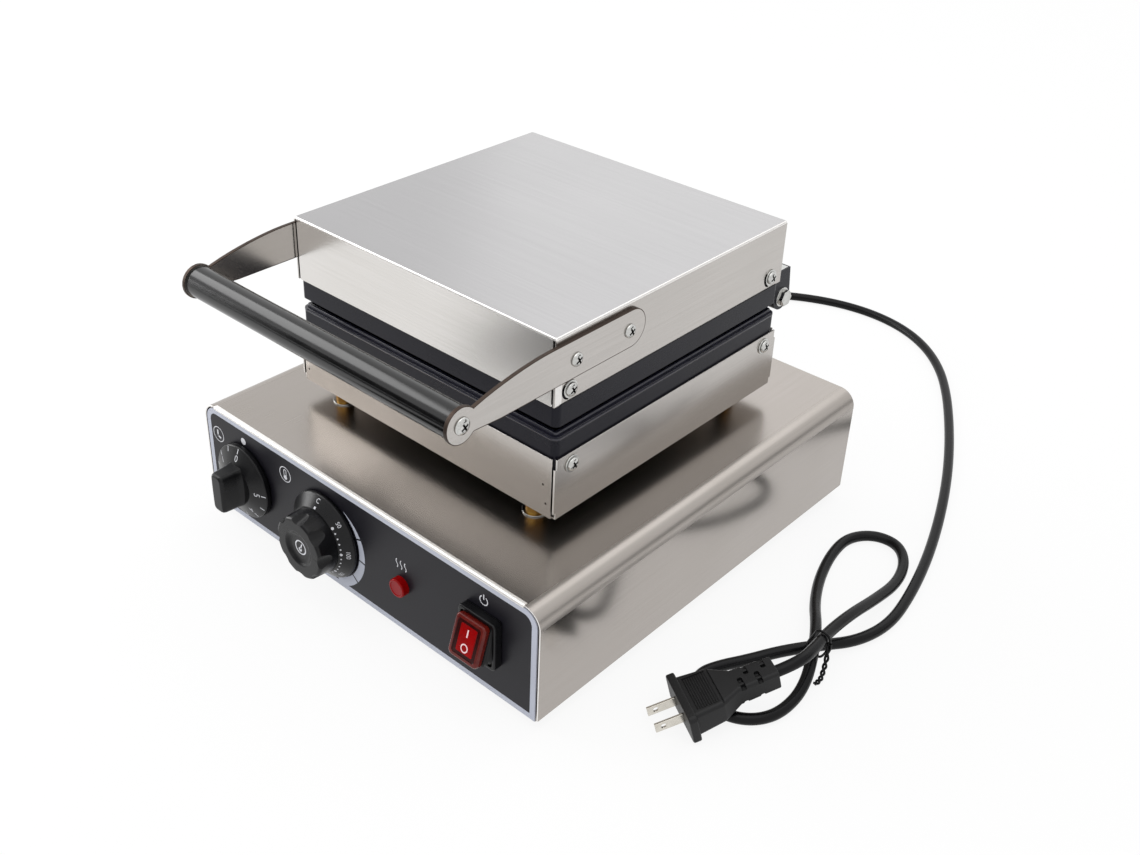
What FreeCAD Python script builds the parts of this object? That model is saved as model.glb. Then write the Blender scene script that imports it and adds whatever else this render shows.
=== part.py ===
import FreeCAD, Part
import math
import os
import re
import Sketcher
from FreeCAD import Placement, Rotation, Vector

# Electric waffle maker: a sheet-steel base box, a lower baking head on posts and a hinged upper head.
# X runs along the control panel, Y to the back, Z up.
# The origin is on the table, under the middle of the object.

SIZES = {
    # Base box, folded from sheet, open at the front and back
    "base_width": 300,
    "base_depth": 313,
    "base_height": 76,
    "base_sheet": 1,
    "base_bend": 11.5,
    "base_lip": 14,
    "lip_notch": 18,
    "lip_screw_inset": 66.5,
    "bottom_sheet": 1,
    # Front and back panels inside the box, and the printed fascia on the front one
    "panel_sheet": 1,
    "panel_gap": 0.2,
    "panel_side_gap": 1,
    "panel_recess": 0.6,
    "panel_flange": 12,
    "panel_drop": 1.5,
    "fascia_thickness": 0.8,
    "fascia_margin": 0.3,
    # Rubber feet
    "foot_height": 8,
    "foot_radius": 12,
    "foot_taper": 1.5,
    "foot_inset": 34,
    "foot_recess": 4,
    "foot_recess_radius": 5.5,
    # Small screws, washers and nuts
    "screw_radius": 2,
    "screw_head_radius": 4.2,
    "screw_head_height": 2.6,
    "screw_crown": 1.4,
    "washer_radius": 5.6,
    "washer_thickness": 0.9,
    "nut_radius": 4.1,
    "nut_height": 3.2,
    "hole_clearance": 0.15,
    # Posts that carry the lower head
    "post_height": 12,
    "post_radius": 6,
    "post_inset_x": 23.7,
    "post_inset_y": 11,
    "post_bolt_radius": 3,
    "post_head_radius": 5.5,
    "post_head_height": 4,
    "post_nut_radius": 5.8,
    "post_nut_height": 5,
    "conduit_radius": 7,
    "conduit_wall": 1,
    "conduit_inset": 43,
    "conduit_end": 4,
    # Lower head: sheet housing and cast plate
    "head_shift": 2.5,
    "housing_height": 40,
    "housing_sheet": 1.2,
    "plate_gap": 0.4,
    "plate_width": 217.4,
    "plate_depth": 210,
    "plate_corner": 4,
    "plate_skirt": 12,
    "skirt_wall": 5,
    "lower_band": 12.8,
    "upper_band": 13.8,
    "parting_gap": 7,
    "rim_wall": 4,
    "gutter_width": 7,
    "gutter_depth": 6,
    "fence_wall": 4,
    "fence_gap": 0.5,
    "cavity_depth": 10,
    "plate_floor": 6.8,
    "ridge_width": 7,
    "ridge_height": 9,
    "stud_size": 12,
    "stud_height": 8,
    "stud_draft": 12,
    "stud_count": 4,
    "stud_margin": 0.5,
    "lower_screw_inset": 12,
    "lower_screw_drop": 7.2,
    # Heating elements and the bars that clamp them
    "heater_radius": 4,
    "heater_gap": 0.3,
    "heater_bend": 15,
    "heater_inset_x": 33.7,
    "heater_inner_x": 30,
    "heater_inset_front": 30,
    "heater_inset_back": 20,
    "heater_loop_inset": 65,
    "heater_end": 20,
    "clamp_inset": 22.7,
    "clamp_width": 20,
    "clamp_thickness": 2.5,
    "boss_radius": 6,
    "boss_thread": 10,
    # Upper head: cast plate under a folded lid cover
    "lid_inset": 0.5,
    "lid_overhang": 1.8,
    "lid_height": 42.2,
    "lid_sheet": 1,
    "lid_round": 1.2,
    "skirt_gap": 0.5,
    "upper_skirt": 12,
    "slot_width": 5,
    "slot_rise": 7.2,
    "lid_screw_inset": 12.3,
    # Hinge at the back
    "hinge_setback": 13.5,
    "hinge_rise": 4.2,
    "lug_inset": 4.7,
    "lug_width": 12,
    "lug_gap": 0.3,
    "lug_radius": 9,
    "lug_top": 19.5,
    "lug_back": 6.5,
    "lug_foot": 4,
    "hinge_bolt_radius": 4,
    "bolt_clearance": 0.05,
    "hinge_head_radius": 7.5,
    "hinge_head_height": 5,
    "hinge_nut_height": 6.5,
    "bolt_tail": 2,
    # Handle across the front of the lid
    "arm_thickness": 3,
    "arm_rise": 14.3,
    "arm_height": 23.5,
    "arm_rear_inset": 60.3,
    "arm_shoulder_reach": 5.2,
    "arm_sweep": 210,
    "arm_heel_reach": 43.2,
    "arm_end_radius": 10.6,
    "neck_angle": 40,
    "arm_screw_rear_inset": 58.3,
    "arm_screw_front_inset": 14.3,
    "arm_screw_rise": 25.3,
    "handle_overhang": 70.2,
    "handle_rise": 22.3,
    "handle_radius": 9.5,
    "handle_wall": 1.2,
    "handle_plug_length": 18,
    "handle_gap": 0.1,
    # Controls on the front panel
    "control_drop": 3.7,
    "timer_inset": 41.8,
    "temp_x": -27.3,
    "lamp_x": 40.8,
    "lamp_drop": 5.2,
    "knob_lift": 1,
    "knob_wall": 2,
    "knob_roof": 3,
    "hub_radius": 8,
    "timer_radius": 26,
    "timer_rim": 4.3,
    "timer_slope_radius": 14,
    "timer_slope_top": 9,
    "grip_height": 24,
    "grip_length": 28,
    "grip_width": 10.6,
    "grip_bow": 245,
    "grip_root": 2,
    "grip_base_length": 30,
    "grip_base_width": 13,
    "grip_base_bow": 21.75,
    "temp_radius": 29.3,
    "temp_rim": 3,
    "temp_slope_top": 9,
    "temp_grip_radius": 21,
    "temp_grip_height": 22.5,
    "temp_grip_round": 2,
    "dish_radius": 11.5,
    "dish_depth": 2,
    "flute_radius": 8.5,
    "flute_offset": 27,
    "flute_count": 8,
    "flute_floor": 0.5,
    "shaft_radius": 3,
    "shaft_flat": 1,
    "shaft_reach": 13,
    "shaft_depth": 18,
    "shaft_shoulder": 0.5,
    "shaft_clearance": 0.05,
    "bush_radius": 6.5,
    "timer_body_size": 46,
    "timer_body_depth": 30,
    "thermostat_radius": 18,
    "thermostat_depth": 26,
    # Heat lamp
    "lens_radius": 6.25,
    "lens_rim": 3.6,
    "lens_crown": 1.2,
    "lens_crown_radius": 5.2,
    "lamp_body_radius": 5,
    "lamp_body_length": 24,
    "lamp_nut_radius": 8,
    "lamp_nut_height": 4,
    # Rocker switch
    "switch_inset": 41.8,
    "switch_lift": 0.5,
    "frame_width": 28.5,
    "frame_height": 33,
    "frame_thickness": 6,
    "frame_wall": 2,
    "switch_body_width": 25,
    "switch_body_height": 30,
    "switch_body_depth": 27,
    "pivot_out": 4.2,
    "rocker_tilt": 18,
    "axle_radius": 1.2,
    "axle_engage": 1.2,
    "cap_width": 22,
    "cap_height": 25,
    "cap_front": 8.5,
    "cap_back": 4,
    "cap_corner": 3,
    "cap_inset": 1.3,
    # Terminal block inside the base
    "terminal_offset": 40,
    "terminal_inset": 51.5,
    "terminal_length": 44,
    "terminal_width": 22,
    "terminal_height": 18,
    "terminal_pitch": 13,
    "terminal_screw_depth": 10,
    # Mains lead, its strain relief, plug and tie
    "cord_radius": 3.5,
    "gland_inset": 50,
    "gland_rise": 30,
    "gland_flange_radius": 10,
    "gland_flange": 3,
    "gland_neck_radius": 6,
    "gland_neck": 10,
    "gland_root_radius": 8,
    "gland_tip_radius": 5.2,
    "gland_length": 30,
    "gland_nut_radius": 10,
    "gland_nut_height": 5,
    "plug_flange_width": 38,
    "plug_flange_height": 20,
    "plug_flange_thickness": 5,
    "plug_corner": 3,
    "plug_body_width": 32,
    "plug_body_height": 17,
    "plug_body_length": 32,
    "plug_neck_width": 15,
    "plug_neck_height": 13,
    "plug_length": 58,
    "blade_spacing": 12.7,
    "blade_width": 6.35,
    "blade_thickness": 1.5,
    "blade_length": 17,
    "blade_hole_radius": 1.6,
    "blade_hole_reach": 12,
    "tie_radius": 0.8,
    "wire_radius": 1.3,
    "wire_bend": 9,
    "wire_gap": 0.1,
    "wire_offset": 7,
    "wire_rise": 16,
    "lead_radius": 3,
    "capillary_radius": 0.8,
    "capillary_bend": 5,
    "capillary_drop": 13,
    "capillary_inset": 18,
    "bulb_radius": 3,
    "bulb_length": 70,
}

DERIVED = {
    "lid_width": "plate_width - 2 * lid_inset",
    "lid_depth": "plate_depth + 2 * lid_overhang",
    "lid_half": "lid_width / 2",
    "handle_reach": "lid_depth / 2 + handle_overhang",
    "base_half": "base_width / 2",
    "base_y": "(handle_reach - head_shift + arm_end_radius - base_depth / 2) / 2",
    "base_top": "foot_height + base_height",
    "floor_z": "foot_height + base_sheet + bottom_sheet",
    "lip_screw_y": "base_depth / 2 - lip_screw_inset",
    "panel_half": "base_half - base_sheet - panel_side_gap",
    "panel_top": "base_height - base_sheet - panel_gap",
    "panel_corner": "base_bend - base_sheet - panel_gap",
    "panel_plane": "base_depth / 2 - panel_recess",
    "panel_back": "base_y - panel_plane + panel_sheet",
    "fascia_face": "base_y - panel_plane - fascia_thickness",
    "control_rise": "base_height / 2 - control_drop",
    "lamp_rise": "base_height / 2 - lamp_drop",
    "switch_rise": "base_height / 2 + switch_lift",
    "timer_x": "timer_inset - base_half",
    "switch_x": "base_half - switch_inset",
    "control_z": "foot_height + control_rise",
    "lamp_z": "foot_height + lamp_rise",
    "switch_z": "foot_height + switch_rise",
    "bush_hole": "bush_radius + hole_clearance",
    "lamp_hole": "lamp_body_radius + hole_clearance",
    "screw_hole": "screw_radius + hole_clearance",
    "head_y": "base_y + head_shift",
    "post_x": "plate_width / 2 - post_inset_x",
    "post_y": "plate_depth / 2 - post_inset_y",
    "conduit_y": "plate_depth / 2 - conduit_inset",
    "housing_z": "base_top + post_height",
    "housing_top": "housing_z + housing_height",
    "housing_width": "plate_width + 2 * (plate_gap + housing_sheet)",
    "housing_depth": "plate_depth + 2 * (plate_gap + housing_sheet)",
    "cavity_inset": "rim_wall + gutter_width + fence_wall",
    "cavity_x": "plate_width / 2 - cavity_inset",
    "cavity_y": "plate_depth / 2 - cavity_inset",
    "cell_x": "(cavity_x + ridge_width / 2) / 2",
    "cell_y": "(cavity_y + ridge_width / 2) / 2",
    "stud_pitch_x": "(cavity_x - ridge_width / 2) / (stud_count + stud_margin)",
    "stud_pitch_y": "(cavity_y - ridge_width / 2) / (stud_count + stud_margin)",
    "lower_screw_y": "plate_depth / 2 - lower_screw_inset",
    "fence_top": "lower_band + parting_gap - fence_gap",
    "lower_floor": "lower_band - cavity_depth",
    "lower_under": "lower_floor - plate_floor",
    "upper_z": "housing_top + lower_band + parting_gap",
    "upper_over": "cavity_depth + plate_floor",
    "heater_outer_x": "plate_width / 2 - heater_inset_x",
    "heater_front": "plate_depth / 2 - heater_inset_front",
    "heater_back": "plate_depth / 2 - heater_inset_back",
    "heater_loop": "plate_depth / 2 - heater_loop_inset",
    "capillary_turn": "heater_loop - capillary_inset",
    "clamp_half": "plate_width / 2 - clamp_inset",
    "boss_x": "(heater_inner_x + heater_outer_x) / 2",
    "boss_length": "2 * (heater_radius + heater_gap)",
    "lid_z": "upper_z + upper_band",
    "skirt_half_x": "lid_half - lid_sheet - skirt_gap",
    "skirt_half_y": "lid_depth / 2 - lid_sheet - skirt_gap",
    "lid_screw_y": "lid_depth / 2 - lid_screw_inset",
    "lug_outer": "plate_width / 2 - lug_inset",
    "hinge_y": "head_y + plate_depth / 2 + hinge_setback",
    "hinge_z": "housing_top + lower_band + hinge_rise",
    "hinge_hole": "hinge_bolt_radius + bolt_clearance",
    "inner_lug": "lug_outer - lug_width - lug_gap",
    "handle_y": "head_y - handle_reach",
    "handle_z": "lid_z + handle_rise",
    "arm_rear": "lid_depth / 2 - arm_rear_inset",
    "arm_shoulder": "lid_depth / 2 + arm_shoulder_reach",
    "arm_heel": "lid_depth / 2 + arm_heel_reach",
    "arm_screw_rear": "lid_depth / 2 - arm_screw_rear_inset",
    "arm_screw_front": "lid_depth / 2 - arm_screw_front_inset",
    "arm_top": "arm_rise + arm_height",
    "arm_mid": "arm_rise + arm_height / 2",
    "gland_x": "gland_inset - base_half",
    "terminal_x": "gland_x + terminal_offset",
    "terminal_y": "base_depth / 2 - terminal_inset",
    "gland_y": "base_y + panel_plane",
    "gland_z": "foot_height + gland_rise",
    "gland_tip": "gland_y + gland_flange + gland_length",
}

# Route of the mains lead after its first point, which is the tip of the strain relief.
# It drops to the table, runs round the right side and ends in loops, with humps where it crosses itself.
CORD_ROUTE = [
    (-100, 228, 38),
    (-100, 258, 30),
    (-99, 290, 14),
    (-95, 323, 3.5),
    (-83, 357, 3.5),
    (-62, 385, 3.5),
    (-34, 406, 3.5),
    (-1, 420, 3.5),
    (32, 424, 3.5),
    (64, 418, 3.5),
    (93, 402, 3.5),
    (119, 377, 3.5),
    (141, 346, 3.5),
    (162, 310, 3.5),
    (182, 272, 3.5),
    (201, 231, 3.5),
    (218, 188, 3.5),
    (232, 146, 3.5),
    (242, 106, 3.5),
    (247, 71, 3.5),
    (241, 43, 4.2),
    (227, 22, 5.7),
    (213, 2, 5.2),
    (202, -17, 3.5),
    (193.5, -31.5, 3.5),
    (188.5, -45, 3.5),
    (193, -56, 3.5),
    (206, -61.5, 3.5),
    (221, -61.5, 3.5),
    (234, -52.5, 3.5),
    (240.5, -37, 3.5),
    (240.5, -16, 6.5),
    (232, 6, 13.2),
    (220, 28, 13.2),
    (205, 51, 6.5),
    (192, 78, 3.5),
    (184, 106, 3.5),
    (183, 128, 3.5),
    (194, 143, 3.5),
    (211, 145, 3.5),
    (224, 131, 3.5),
    (231, 107, 4.5),
    (232, 75, 11),
    (232.3, 46, 18.4),
    (233, 18, 22.3),
    (236.5, -2, 26),
    (237.8, -21.2, 28.3),
]
PLUG_NECK = (230.3, -33.6, 24.55)
PLUG_FACE = (201.1, -81.5, 10.05)
CORD_GAP = 0.4
TIE_CORNERS = [(215.6, 0.9), (238, 0.9), (238, 27.4), (215.6, 27.4)]
TIE_Y = 16
TIE_BEND = 5
TIE_TAIL = [(238, 16, 7), (240, 13, 3.6), (244.5, 7, 1.4), (244, -5, 1)]

doc = FreeCAD.newDocument("WaffleMaker")
sheet = doc.addObject("Spreadsheet::Sheet", "Sizes")
nodes = []


def fill_sheet():
    """Writes the driving sizes as plain numbers and the sizes that follow from them as formulas."""
    rows = [(alias, str(value)) for alias, value in SIZES.items()]
    rows += [(alias, "=" + text) for alias, text in DERIVED.items()]
    for row, (alias, content) in enumerate(rows, start=1):
        sheet.set(f"A{row}", alias)
        sheet.set(f"B{row}", content)
        sheet.setAlias(f"B{row}", alias)
    doc.recompute()


def bound(text):
    """Returns a formula with each size's alias pointing at its cell."""
    def cell(match):
        word = match.group()
        return "Sizes." + word if word in SIZES or word in DERIVED else word
    return re.sub(r"[a-z]\w*", cell, text)


def number(text):
    return float(sheet.evalExpression(bound(text)))


def point(x, y, z):
    return Vector(number(x), number(y), number(z))


def bind(item, **formulas):
    for name, text in formulas.items():
        item.setExpression(name, bound(text))


def place(item, x, y, z, rotation=Rotation()):
    item.Placement = Placement(point(x, y, z), rotation)
    for axis, text in zip("xyz", (x, y, z)):
        item.setExpression("Placement.Base." + axis, bound(text))
    return item


def node(item, label):
    """Names a finished sub-part. The label is also the name of its file."""
    item.Label = label
    nodes.append(item)
    return item


# Turns local +Z towards a direction of the object
TOWARDS = {
    "+Z": Rotation(),
    "-Z": Rotation(Vector(1, 0, 0), 180),
    "+X": Rotation(Vector(0, 1, 0), 90),
    "-X": Rotation(Vector(0, 1, 0), -90),
    "+Y": Rotation(Vector(1, 0, 0), -90),
    "-Y": Rotation(Vector(1, 0, 0), 90),
}
HALF_TURN = Rotation(Vector(0, 0, 1), 180)
SIDES = ("-", "")


# Sketches and features

def new_body(label):
    return node(doc.addObject("PartDesign::Body", label), label)


def origin_item(body, role):
    return next(item for item in body.Origin.OriginFeatures if item.Role == role)


def sketch_on(body, plane, offset="0"):
    sketch = body.newObject("Sketcher::SketchObject", body.Name + "_sketch")
    sketch.AttachmentSupport = [(origin_item(body, plane), "")]
    sketch.MapMode = "FlatFace"
    sketch.AttachmentOffset = Placement(Vector(0, 0, number(offset)), Rotation())
    sketch.setExpression("AttachmentOffset.Base.z", bound(offset))
    return sketch


def pin(sketch, kind, geometry, vertex, value, text):
    index = sketch.addConstraint(Sketcher.Constraint(kind, -1, 1, geometry, vertex, value))
    sketch.setExpression(f"Constraints[{index}]", bound(text))


def bend_between(start, end, radius, turn):
    """Returns the arc from start to end, under a half circle, with its centre on the left for turn 1."""
    chord = end - start
    across = Vector(-chord.y, chord.x, 0).normalize() * turn
    centre = (start + end) / 2 + across * math.sqrt(max(radius ** 2 - (chord.Length / 2) ** 2, 0))
    middle = centre + ((start + end) / 2 - centre).normalize() * radius
    return Part.Arc(start, middle, end)


def contour(sketch, corners):
    """Draws a closed outline. A corner is (x, y), or (x, y, radius, turn) where an arc leads to it."""
    first = sketch.GeometryCount
    count = len(corners)
    spots = [Vector(number(corner[0]), number(corner[1]), 0) for corner in corners]
    for index, corner in enumerate(corners):
        start, end = spots[index - 1], spots[index]
        curved = len(corner) == 4
        if curved:
            edge = bend_between(start, end, number(corner[2]), corner[3])
        else:
            edge = Part.LineSegment(start, end)
        sketch.addGeometry(edge, False)
    ends = []
    for index, corner in enumerate(corners):
        clockwise = len(corner) == 4 and corner[3] < 0
        ends.append((2, 1) if clockwise else (1, 2))
    for index, corner in enumerate(corners):
        following = (index + 1) % count
        sketch.addConstraint(Sketcher.Constraint(
            "Coincident", first + index, ends[index][1], first + following, ends[following][0]))
        pin(sketch, "DistanceX", first + index, ends[index][1], spots[index].x, corner[0])
        pin(sketch, "DistanceY", first + index, ends[index][1], spots[index].y, corner[1])
        if len(corner) == 4:
            radius = sketch.addConstraint(Sketcher.Constraint("Radius", first + index, number(corner[2])))
            sketch.setExpression(f"Constraints[{radius}]", bound(corner[2]))


def rectangle(sketch, left, low, right, high):
    contour(sketch, [(left, low), (right, low), (right, high), (left, high)])


def centred(sketch, half_x, half_y):
    rectangle(sketch, f"-({half_x})", f"-({half_y})", half_x, half_y)


def rounded(sketch, half_x, half_y, radius):
    """Draws a rectangle about the sketch's origin with round corners."""
    inner_x = f"({half_x}) - ({radius})"
    inner_y = f"({half_y}) - ({radius})"
    contour(sketch, [
        (f"-({inner_x})", f"-({half_y})"),
        (inner_x, f"-({half_y})"),
        (half_x, f"-({inner_y})", radius, 1),
        (half_x, inner_y),
        (inner_x, half_y, radius, 1),
        (f"-({inner_x})", half_y),
        (f"-({half_x})", inner_y, radius, 1),
        (f"-({half_x})", f"-({inner_y})"),
        (f"-({inner_x})", f"-({half_y})", radius, 1),
    ][1:])


def ring(sketch, x, y, radius):
    centre = Vector(number(x), number(y), 0)
    index = sketch.addGeometry(Part.Circle(centre, Vector(0, 0, 1), number(radius)), False)
    pin(sketch, "DistanceX", index, 3, centre.x, x)
    pin(sketch, "DistanceY", index, 3, centre.y, y)
    size = sketch.addConstraint(Sketcher.Constraint("Radius", index, number(radius)))
    sketch.setExpression(f"Constraints[{size}]", bound(radius))


def pad(body, sketch, length, reverse=False, middle=False, draft=None):
    feature = body.newObject("PartDesign::Pad", body.Name + "_pad")
    feature.Profile = sketch
    bind(feature, Length=length)
    feature.Reversed = reverse
    feature.Midplane = middle
    if draft:
        bind(feature, TaperAngle=f"-({draft})")
    doc.recompute()
    return feature


def pocket(body, sketch, length=None, reverse=False):
    """Cuts a sketch to a depth, or right through both ways, and stops if nothing was cut."""
    before = body.Shape.Volume
    feature = body.newObject("PartDesign::Pocket", body.Name + "_pocket")
    feature.Profile = sketch
    if length:
        bind(feature, Length=length)
        feature.Reversed = reverse
    else:
        feature.Type = "ThroughAll"
        feature.Midplane = True
    doc.recompute()
    if feature.Shape.Volume >= before:
        raise RuntimeError(f"{body.Label}: a pocket cuts nothing")
    return feature


def revolve(body, sketch):
    feature = body.newObject("PartDesign::Revolution", body.Name + "_turned")
    feature.Profile = sketch
    feature.ReferenceAxis = (sketch, ["V_Axis"])
    feature.Angle = 360
    doc.recompute()
    return feature


def loft(body, sections):
    feature = body.newObject("PartDesign::AdditiveLoft", body.Name + "_loft")
    feature.Profile = sections[0]
    feature.Sections = sections[1:]
    feature.Ruled = True
    doc.recompute()
    return feature


# Turned, sawn and bought-in pieces

def block(name, x, y, z, length, width, height):
    item = doc.addObject("Part::Box", name)
    bind(item, Length=length, Width=width, Height=height)
    return place(item, x, y, z)


def drum(name, radius, height, x, y, z, axis="+Z"):
    item = doc.addObject("Part::Cylinder", name)
    bind(item, Radius=radius, Height=height)
    return place(item, x, y, z, TOWARDS[axis])


def taper(name, radius, tip, height, x, y, z, axis="+Z"):
    item = doc.addObject("Part::Cone", name)
    bind(item, Radius1=radius, Radius2=tip, Height=height)
    return place(item, x, y, z, TOWARDS[axis])


def hexagon(name, radius, height, x, y, z, axis="+Z"):
    item = doc.addObject("Part::Prism", name)
    item.Polygon = 6
    bind(item, Circumradius=radius, Height=height)
    return place(item, x, y, z, TOWARDS[axis])


def fuse(name, items):
    item = doc.addObject("Part::MultiFuse", name)
    item.Shapes = items
    return item


def cut(name, base, tools):
    item = doc.addObject("Part::Cut", name)
    item.Base = base
    item.Tool = tools[0] if len(tools) == 1 else fuse(name + "_tools", tools)
    return item


def group(label, items):
    item = doc.addObject("Part::Compound", label)
    item.Links = items
    return node(item, label)


def screw(name, length, x, y, z, axis,
          radius="screw_radius", head="screw_head_radius", height="screw_head_height"):
    """A pan-head screw. The underside of its head is at the point, and its head looks along the axis."""
    shank = drum(name + "_shank", radius, length, "0", "0", f"-({length})")
    rim = drum(name + "_rim", head, f"{height} - screw_crown", "0", "0", "0")
    crown = taper(name + "_crown", head, f"{head} - screw_crown", "screw_crown",
                  "0", "0", f"{height} - screw_crown")
    return place(fuse(name, [shank, rim, crown]), x, y, z, TOWARDS[axis])


def washer(name, x, y, z, axis):
    disc = drum(name + "_disc", "washer_radius", "washer_thickness", "0", "0", "0")
    bore = drum(name + "_bore", "screw_hole", "washer_thickness", "0", "0", "0")
    return place(cut(name, disc, [bore]), x, y, z, TOWARDS[axis])


def nut(name, x, y, z, axis, radius="nut_radius", height="nut_height", bore="screw_hole"):
    body = hexagon(name + "_body", radius, height, "0", "0", "0")
    hole = drum(name + "_hole", bore, height, "0", "0", "0")
    return place(cut(name, body, [hole]), x, y, z, TOWARDS[axis])


# Tubes that follow a route

def route_wire(points, bend=None):
    """Joins straight runs by tangent arcs, of one radius or as large as the shorter run allows."""
    edges = []
    radii = []
    here = points[0]
    for before, corner, after in zip(points, points[1:], points[2:]):
        arrive = (corner - before).normalize()
        leave = (after - corner).normalize()
        half = arrive.getAngle(leave) / 2
        shorter = min((corner - before).Length, (after - corner).Length)
        radius = bend if bend else 0.45 * shorter / math.tan(half)
        setback = radius * math.tan(half)
        start = corner - arrive * setback
        end = corner + leave * setback
        inward = (leave - arrive).normalize()
        middle = corner + inward * (radius / math.cos(half) - radius)
        edges.append(Part.LineSegment(here, start).toShape())
        edges.append(Part.Arc(start, middle, end).toShape())
        radii.append(radius)
        here = end
    edges.append(Part.LineSegment(here, points[-1]).toShape())
    return Part.Wire(edges), radii


def sweep(wire, radius, start, direction):
    profile = Part.Wire(Part.Circle(start, direction, radius).toShape())
    tube = wire.makePipeShell([profile], True, False)
    expected = math.pi * radius ** 2 * wire.Length
    if abs(tube.Volume - expected) > 0.01 * expected:
        raise RuntimeError("a tube's volume is not its section times its length")
    return tube


def tube_along(points, radius, bend=None):
    wire, radii = route_wire(points, bend)
    return sweep(wire, radius, points[0], points[1] - points[0]), wire, radii


def shape_node(label, shape):
    item = doc.addObject("Part::Feature", label)
    item.Shape = shape
    return node(item, label)


# Base box

def base_cover():
    body = new_body("base_cover")
    place(body, "0", "base_y", "foot_height")
    section = sketch_on(body, "XZ_Plane")
    contour(section, [
        ("-base_half", "0"),
        ("-base_half", "base_height - base_bend"),
        ("-base_half + base_bend", "base_height", "base_bend", -1),
        ("base_half - base_bend", "base_height"),
        ("base_half", "base_height - base_bend", "base_bend", -1),
        ("base_half", "0"),
        ("base_half - base_lip", "0"),
        ("base_half - base_lip", "base_sheet"),
        ("base_half - base_sheet", "base_sheet"),
        ("base_half - base_sheet", "base_height - base_bend"),
        ("base_half - base_bend", "base_height - base_sheet", "base_bend - base_sheet", 1),
        ("-base_half + base_bend", "base_height - base_sheet"),
        ("-base_half + base_sheet", "base_height - base_bend", "base_bend - base_sheet", 1),
        ("-base_half + base_sheet", "base_sheet"),
        ("-base_half + base_lip", "base_sheet"),
        ("-base_half + base_lip", "0"),
    ])
    pad(body, section, "base_depth", middle=True)
    notches = sketch_on(body, "XY_Plane", "base_sheet")
    for x in SIDES:
        edges = (f"{x}(base_half - base_lip - base_sheet)", f"{x}(base_half - base_sheet)")
        for y in SIDES:
            ends = (f"{y}(base_depth / 2 - lip_notch)", f"{y}(base_depth / 2 + base_sheet)")
            rectangle(notches, edges[0], ends[0], edges[1], ends[1])
            ring(notches, f"{x}(base_half - base_lip / 2)", f"{y}lip_screw_y", "screw_hole")
    pocket(body, notches, "2 * base_sheet")
    holes = sketch_on(body, "XY_Plane", "base_height")
    post_holes(holes)
    pocket(body, holes, "2 * base_sheet")


def post_holes(sketch, shift="head_shift"):
    """Holes for the four post bolts and the wire conduit, the same in the base and the lower housing."""
    for x in SIDES:
        for y in SIDES:
            ring(sketch, f"{x}post_x", f"{shift} + {y}post_y", "post_bolt_radius + hole_clearance")
    ring(sketch, "0", f"{shift} + conduit_y", "conduit_radius + hole_clearance")


def panel_outline(sketch, margin):
    """Outline of a panel in the end of the base box, square below and round above, drawn in by a margin."""
    half = f"(panel_half - {margin})"
    top = f"(panel_top - {margin})"
    corner = f"(panel_corner - {margin})"
    low = f"({margin} - panel_drop)"
    contour(sketch, [
        (f"-{half}", low),
        (half, low),
        (half, f"{top} - {corner}"),
        (f"{half} - {corner}", top, corner, 1),
        (f"-{half} + {corner}", top),
        (f"-{half}", f"{top} - {corner}", corner, 1),
    ])


def control_holes(sketch):
    ring(sketch, "timer_x", "control_rise", "bush_hole")
    ring(sketch, "temp_x", "control_rise", "bush_hole")
    ring(sketch, "lamp_x", "lamp_rise", "lamp_hole")
    half_x = "(switch_body_width / 2 + hole_clearance)"
    half_z = "(switch_body_height / 2 + hole_clearance)"
    rectangle(sketch, f"switch_x - {half_x}", f"switch_rise - {half_z}",
              f"switch_x + {half_x}", f"switch_rise + {half_z}")


def gland_hole(sketch):
    ring(sketch, "-gland_x", "gland_rise", "gland_neck_radius + hole_clearance")


def end_panel(label, rotation, holes):
    """A flat panel with a flange under the base's top and one on its floor."""
    body = new_body(label)
    place(body, "0", "base_y", "foot_height", rotation)
    face = sketch_on(body, "XZ_Plane", "panel_plane")
    panel_outline(face, "0")
    pad(body, face, "panel_sheet", reverse=True)
    flanges = sketch_on(body, "XZ_Plane", "panel_plane - panel_sheet")
    reach = "(base_half - base_bend - base_sheet)"
    rectangle(flanges, f"-{reach}", "base_height - base_sheet - panel_sheet",
              reach, "base_height - base_sheet")
    floor = "base_sheet + bottom_sheet"
    reach = "(base_half - base_lip - base_sheet)"
    rectangle(flanges, f"-{reach}", floor, reach, f"{floor} + panel_sheet")
    pad(body, flanges, "panel_flange", reverse=True)
    openings = sketch_on(body, "XZ_Plane", "panel_plane")
    holes(openings)
    pocket(body, openings, "panel_sheet")


def control_fascia():
    body = new_body("control_fascia")
    place(body, "0", "base_y", "foot_height")
    face = sketch_on(body, "XZ_Plane", "panel_plane")
    panel_outline(face, "fascia_margin")
    pad(body, face, "fascia_thickness")
    openings = sketch_on(body, "XZ_Plane", "panel_plane + fascia_thickness")
    control_holes(openings)
    pocket(body, openings, "fascia_thickness")


def foot_spots():
    for x in SIDES:
        for y in SIDES:
            yield f"{x}(base_half - foot_inset)", f"base_y + {y}(base_depth / 2 - foot_inset)"


def bottom_plate():
    body = new_body("bottom_plate")
    place(body, "0", "base_y", "foot_height + base_sheet")
    sketch = sketch_on(body, "XY_Plane")
    centred(sketch, "panel_half", "panel_plane - panel_sheet - panel_gap")
    for x in SIDES:
        for y in SIDES:
            ring(sketch, f"{x}(base_half - foot_inset)", f"{y}(base_depth / 2 - foot_inset)", "screw_hole")
            ring(sketch, f"{x}(base_half - base_lip / 2)", f"{y}lip_screw_y", "screw_hole")
    pad(body, sketch, "bottom_sheet")


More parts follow.
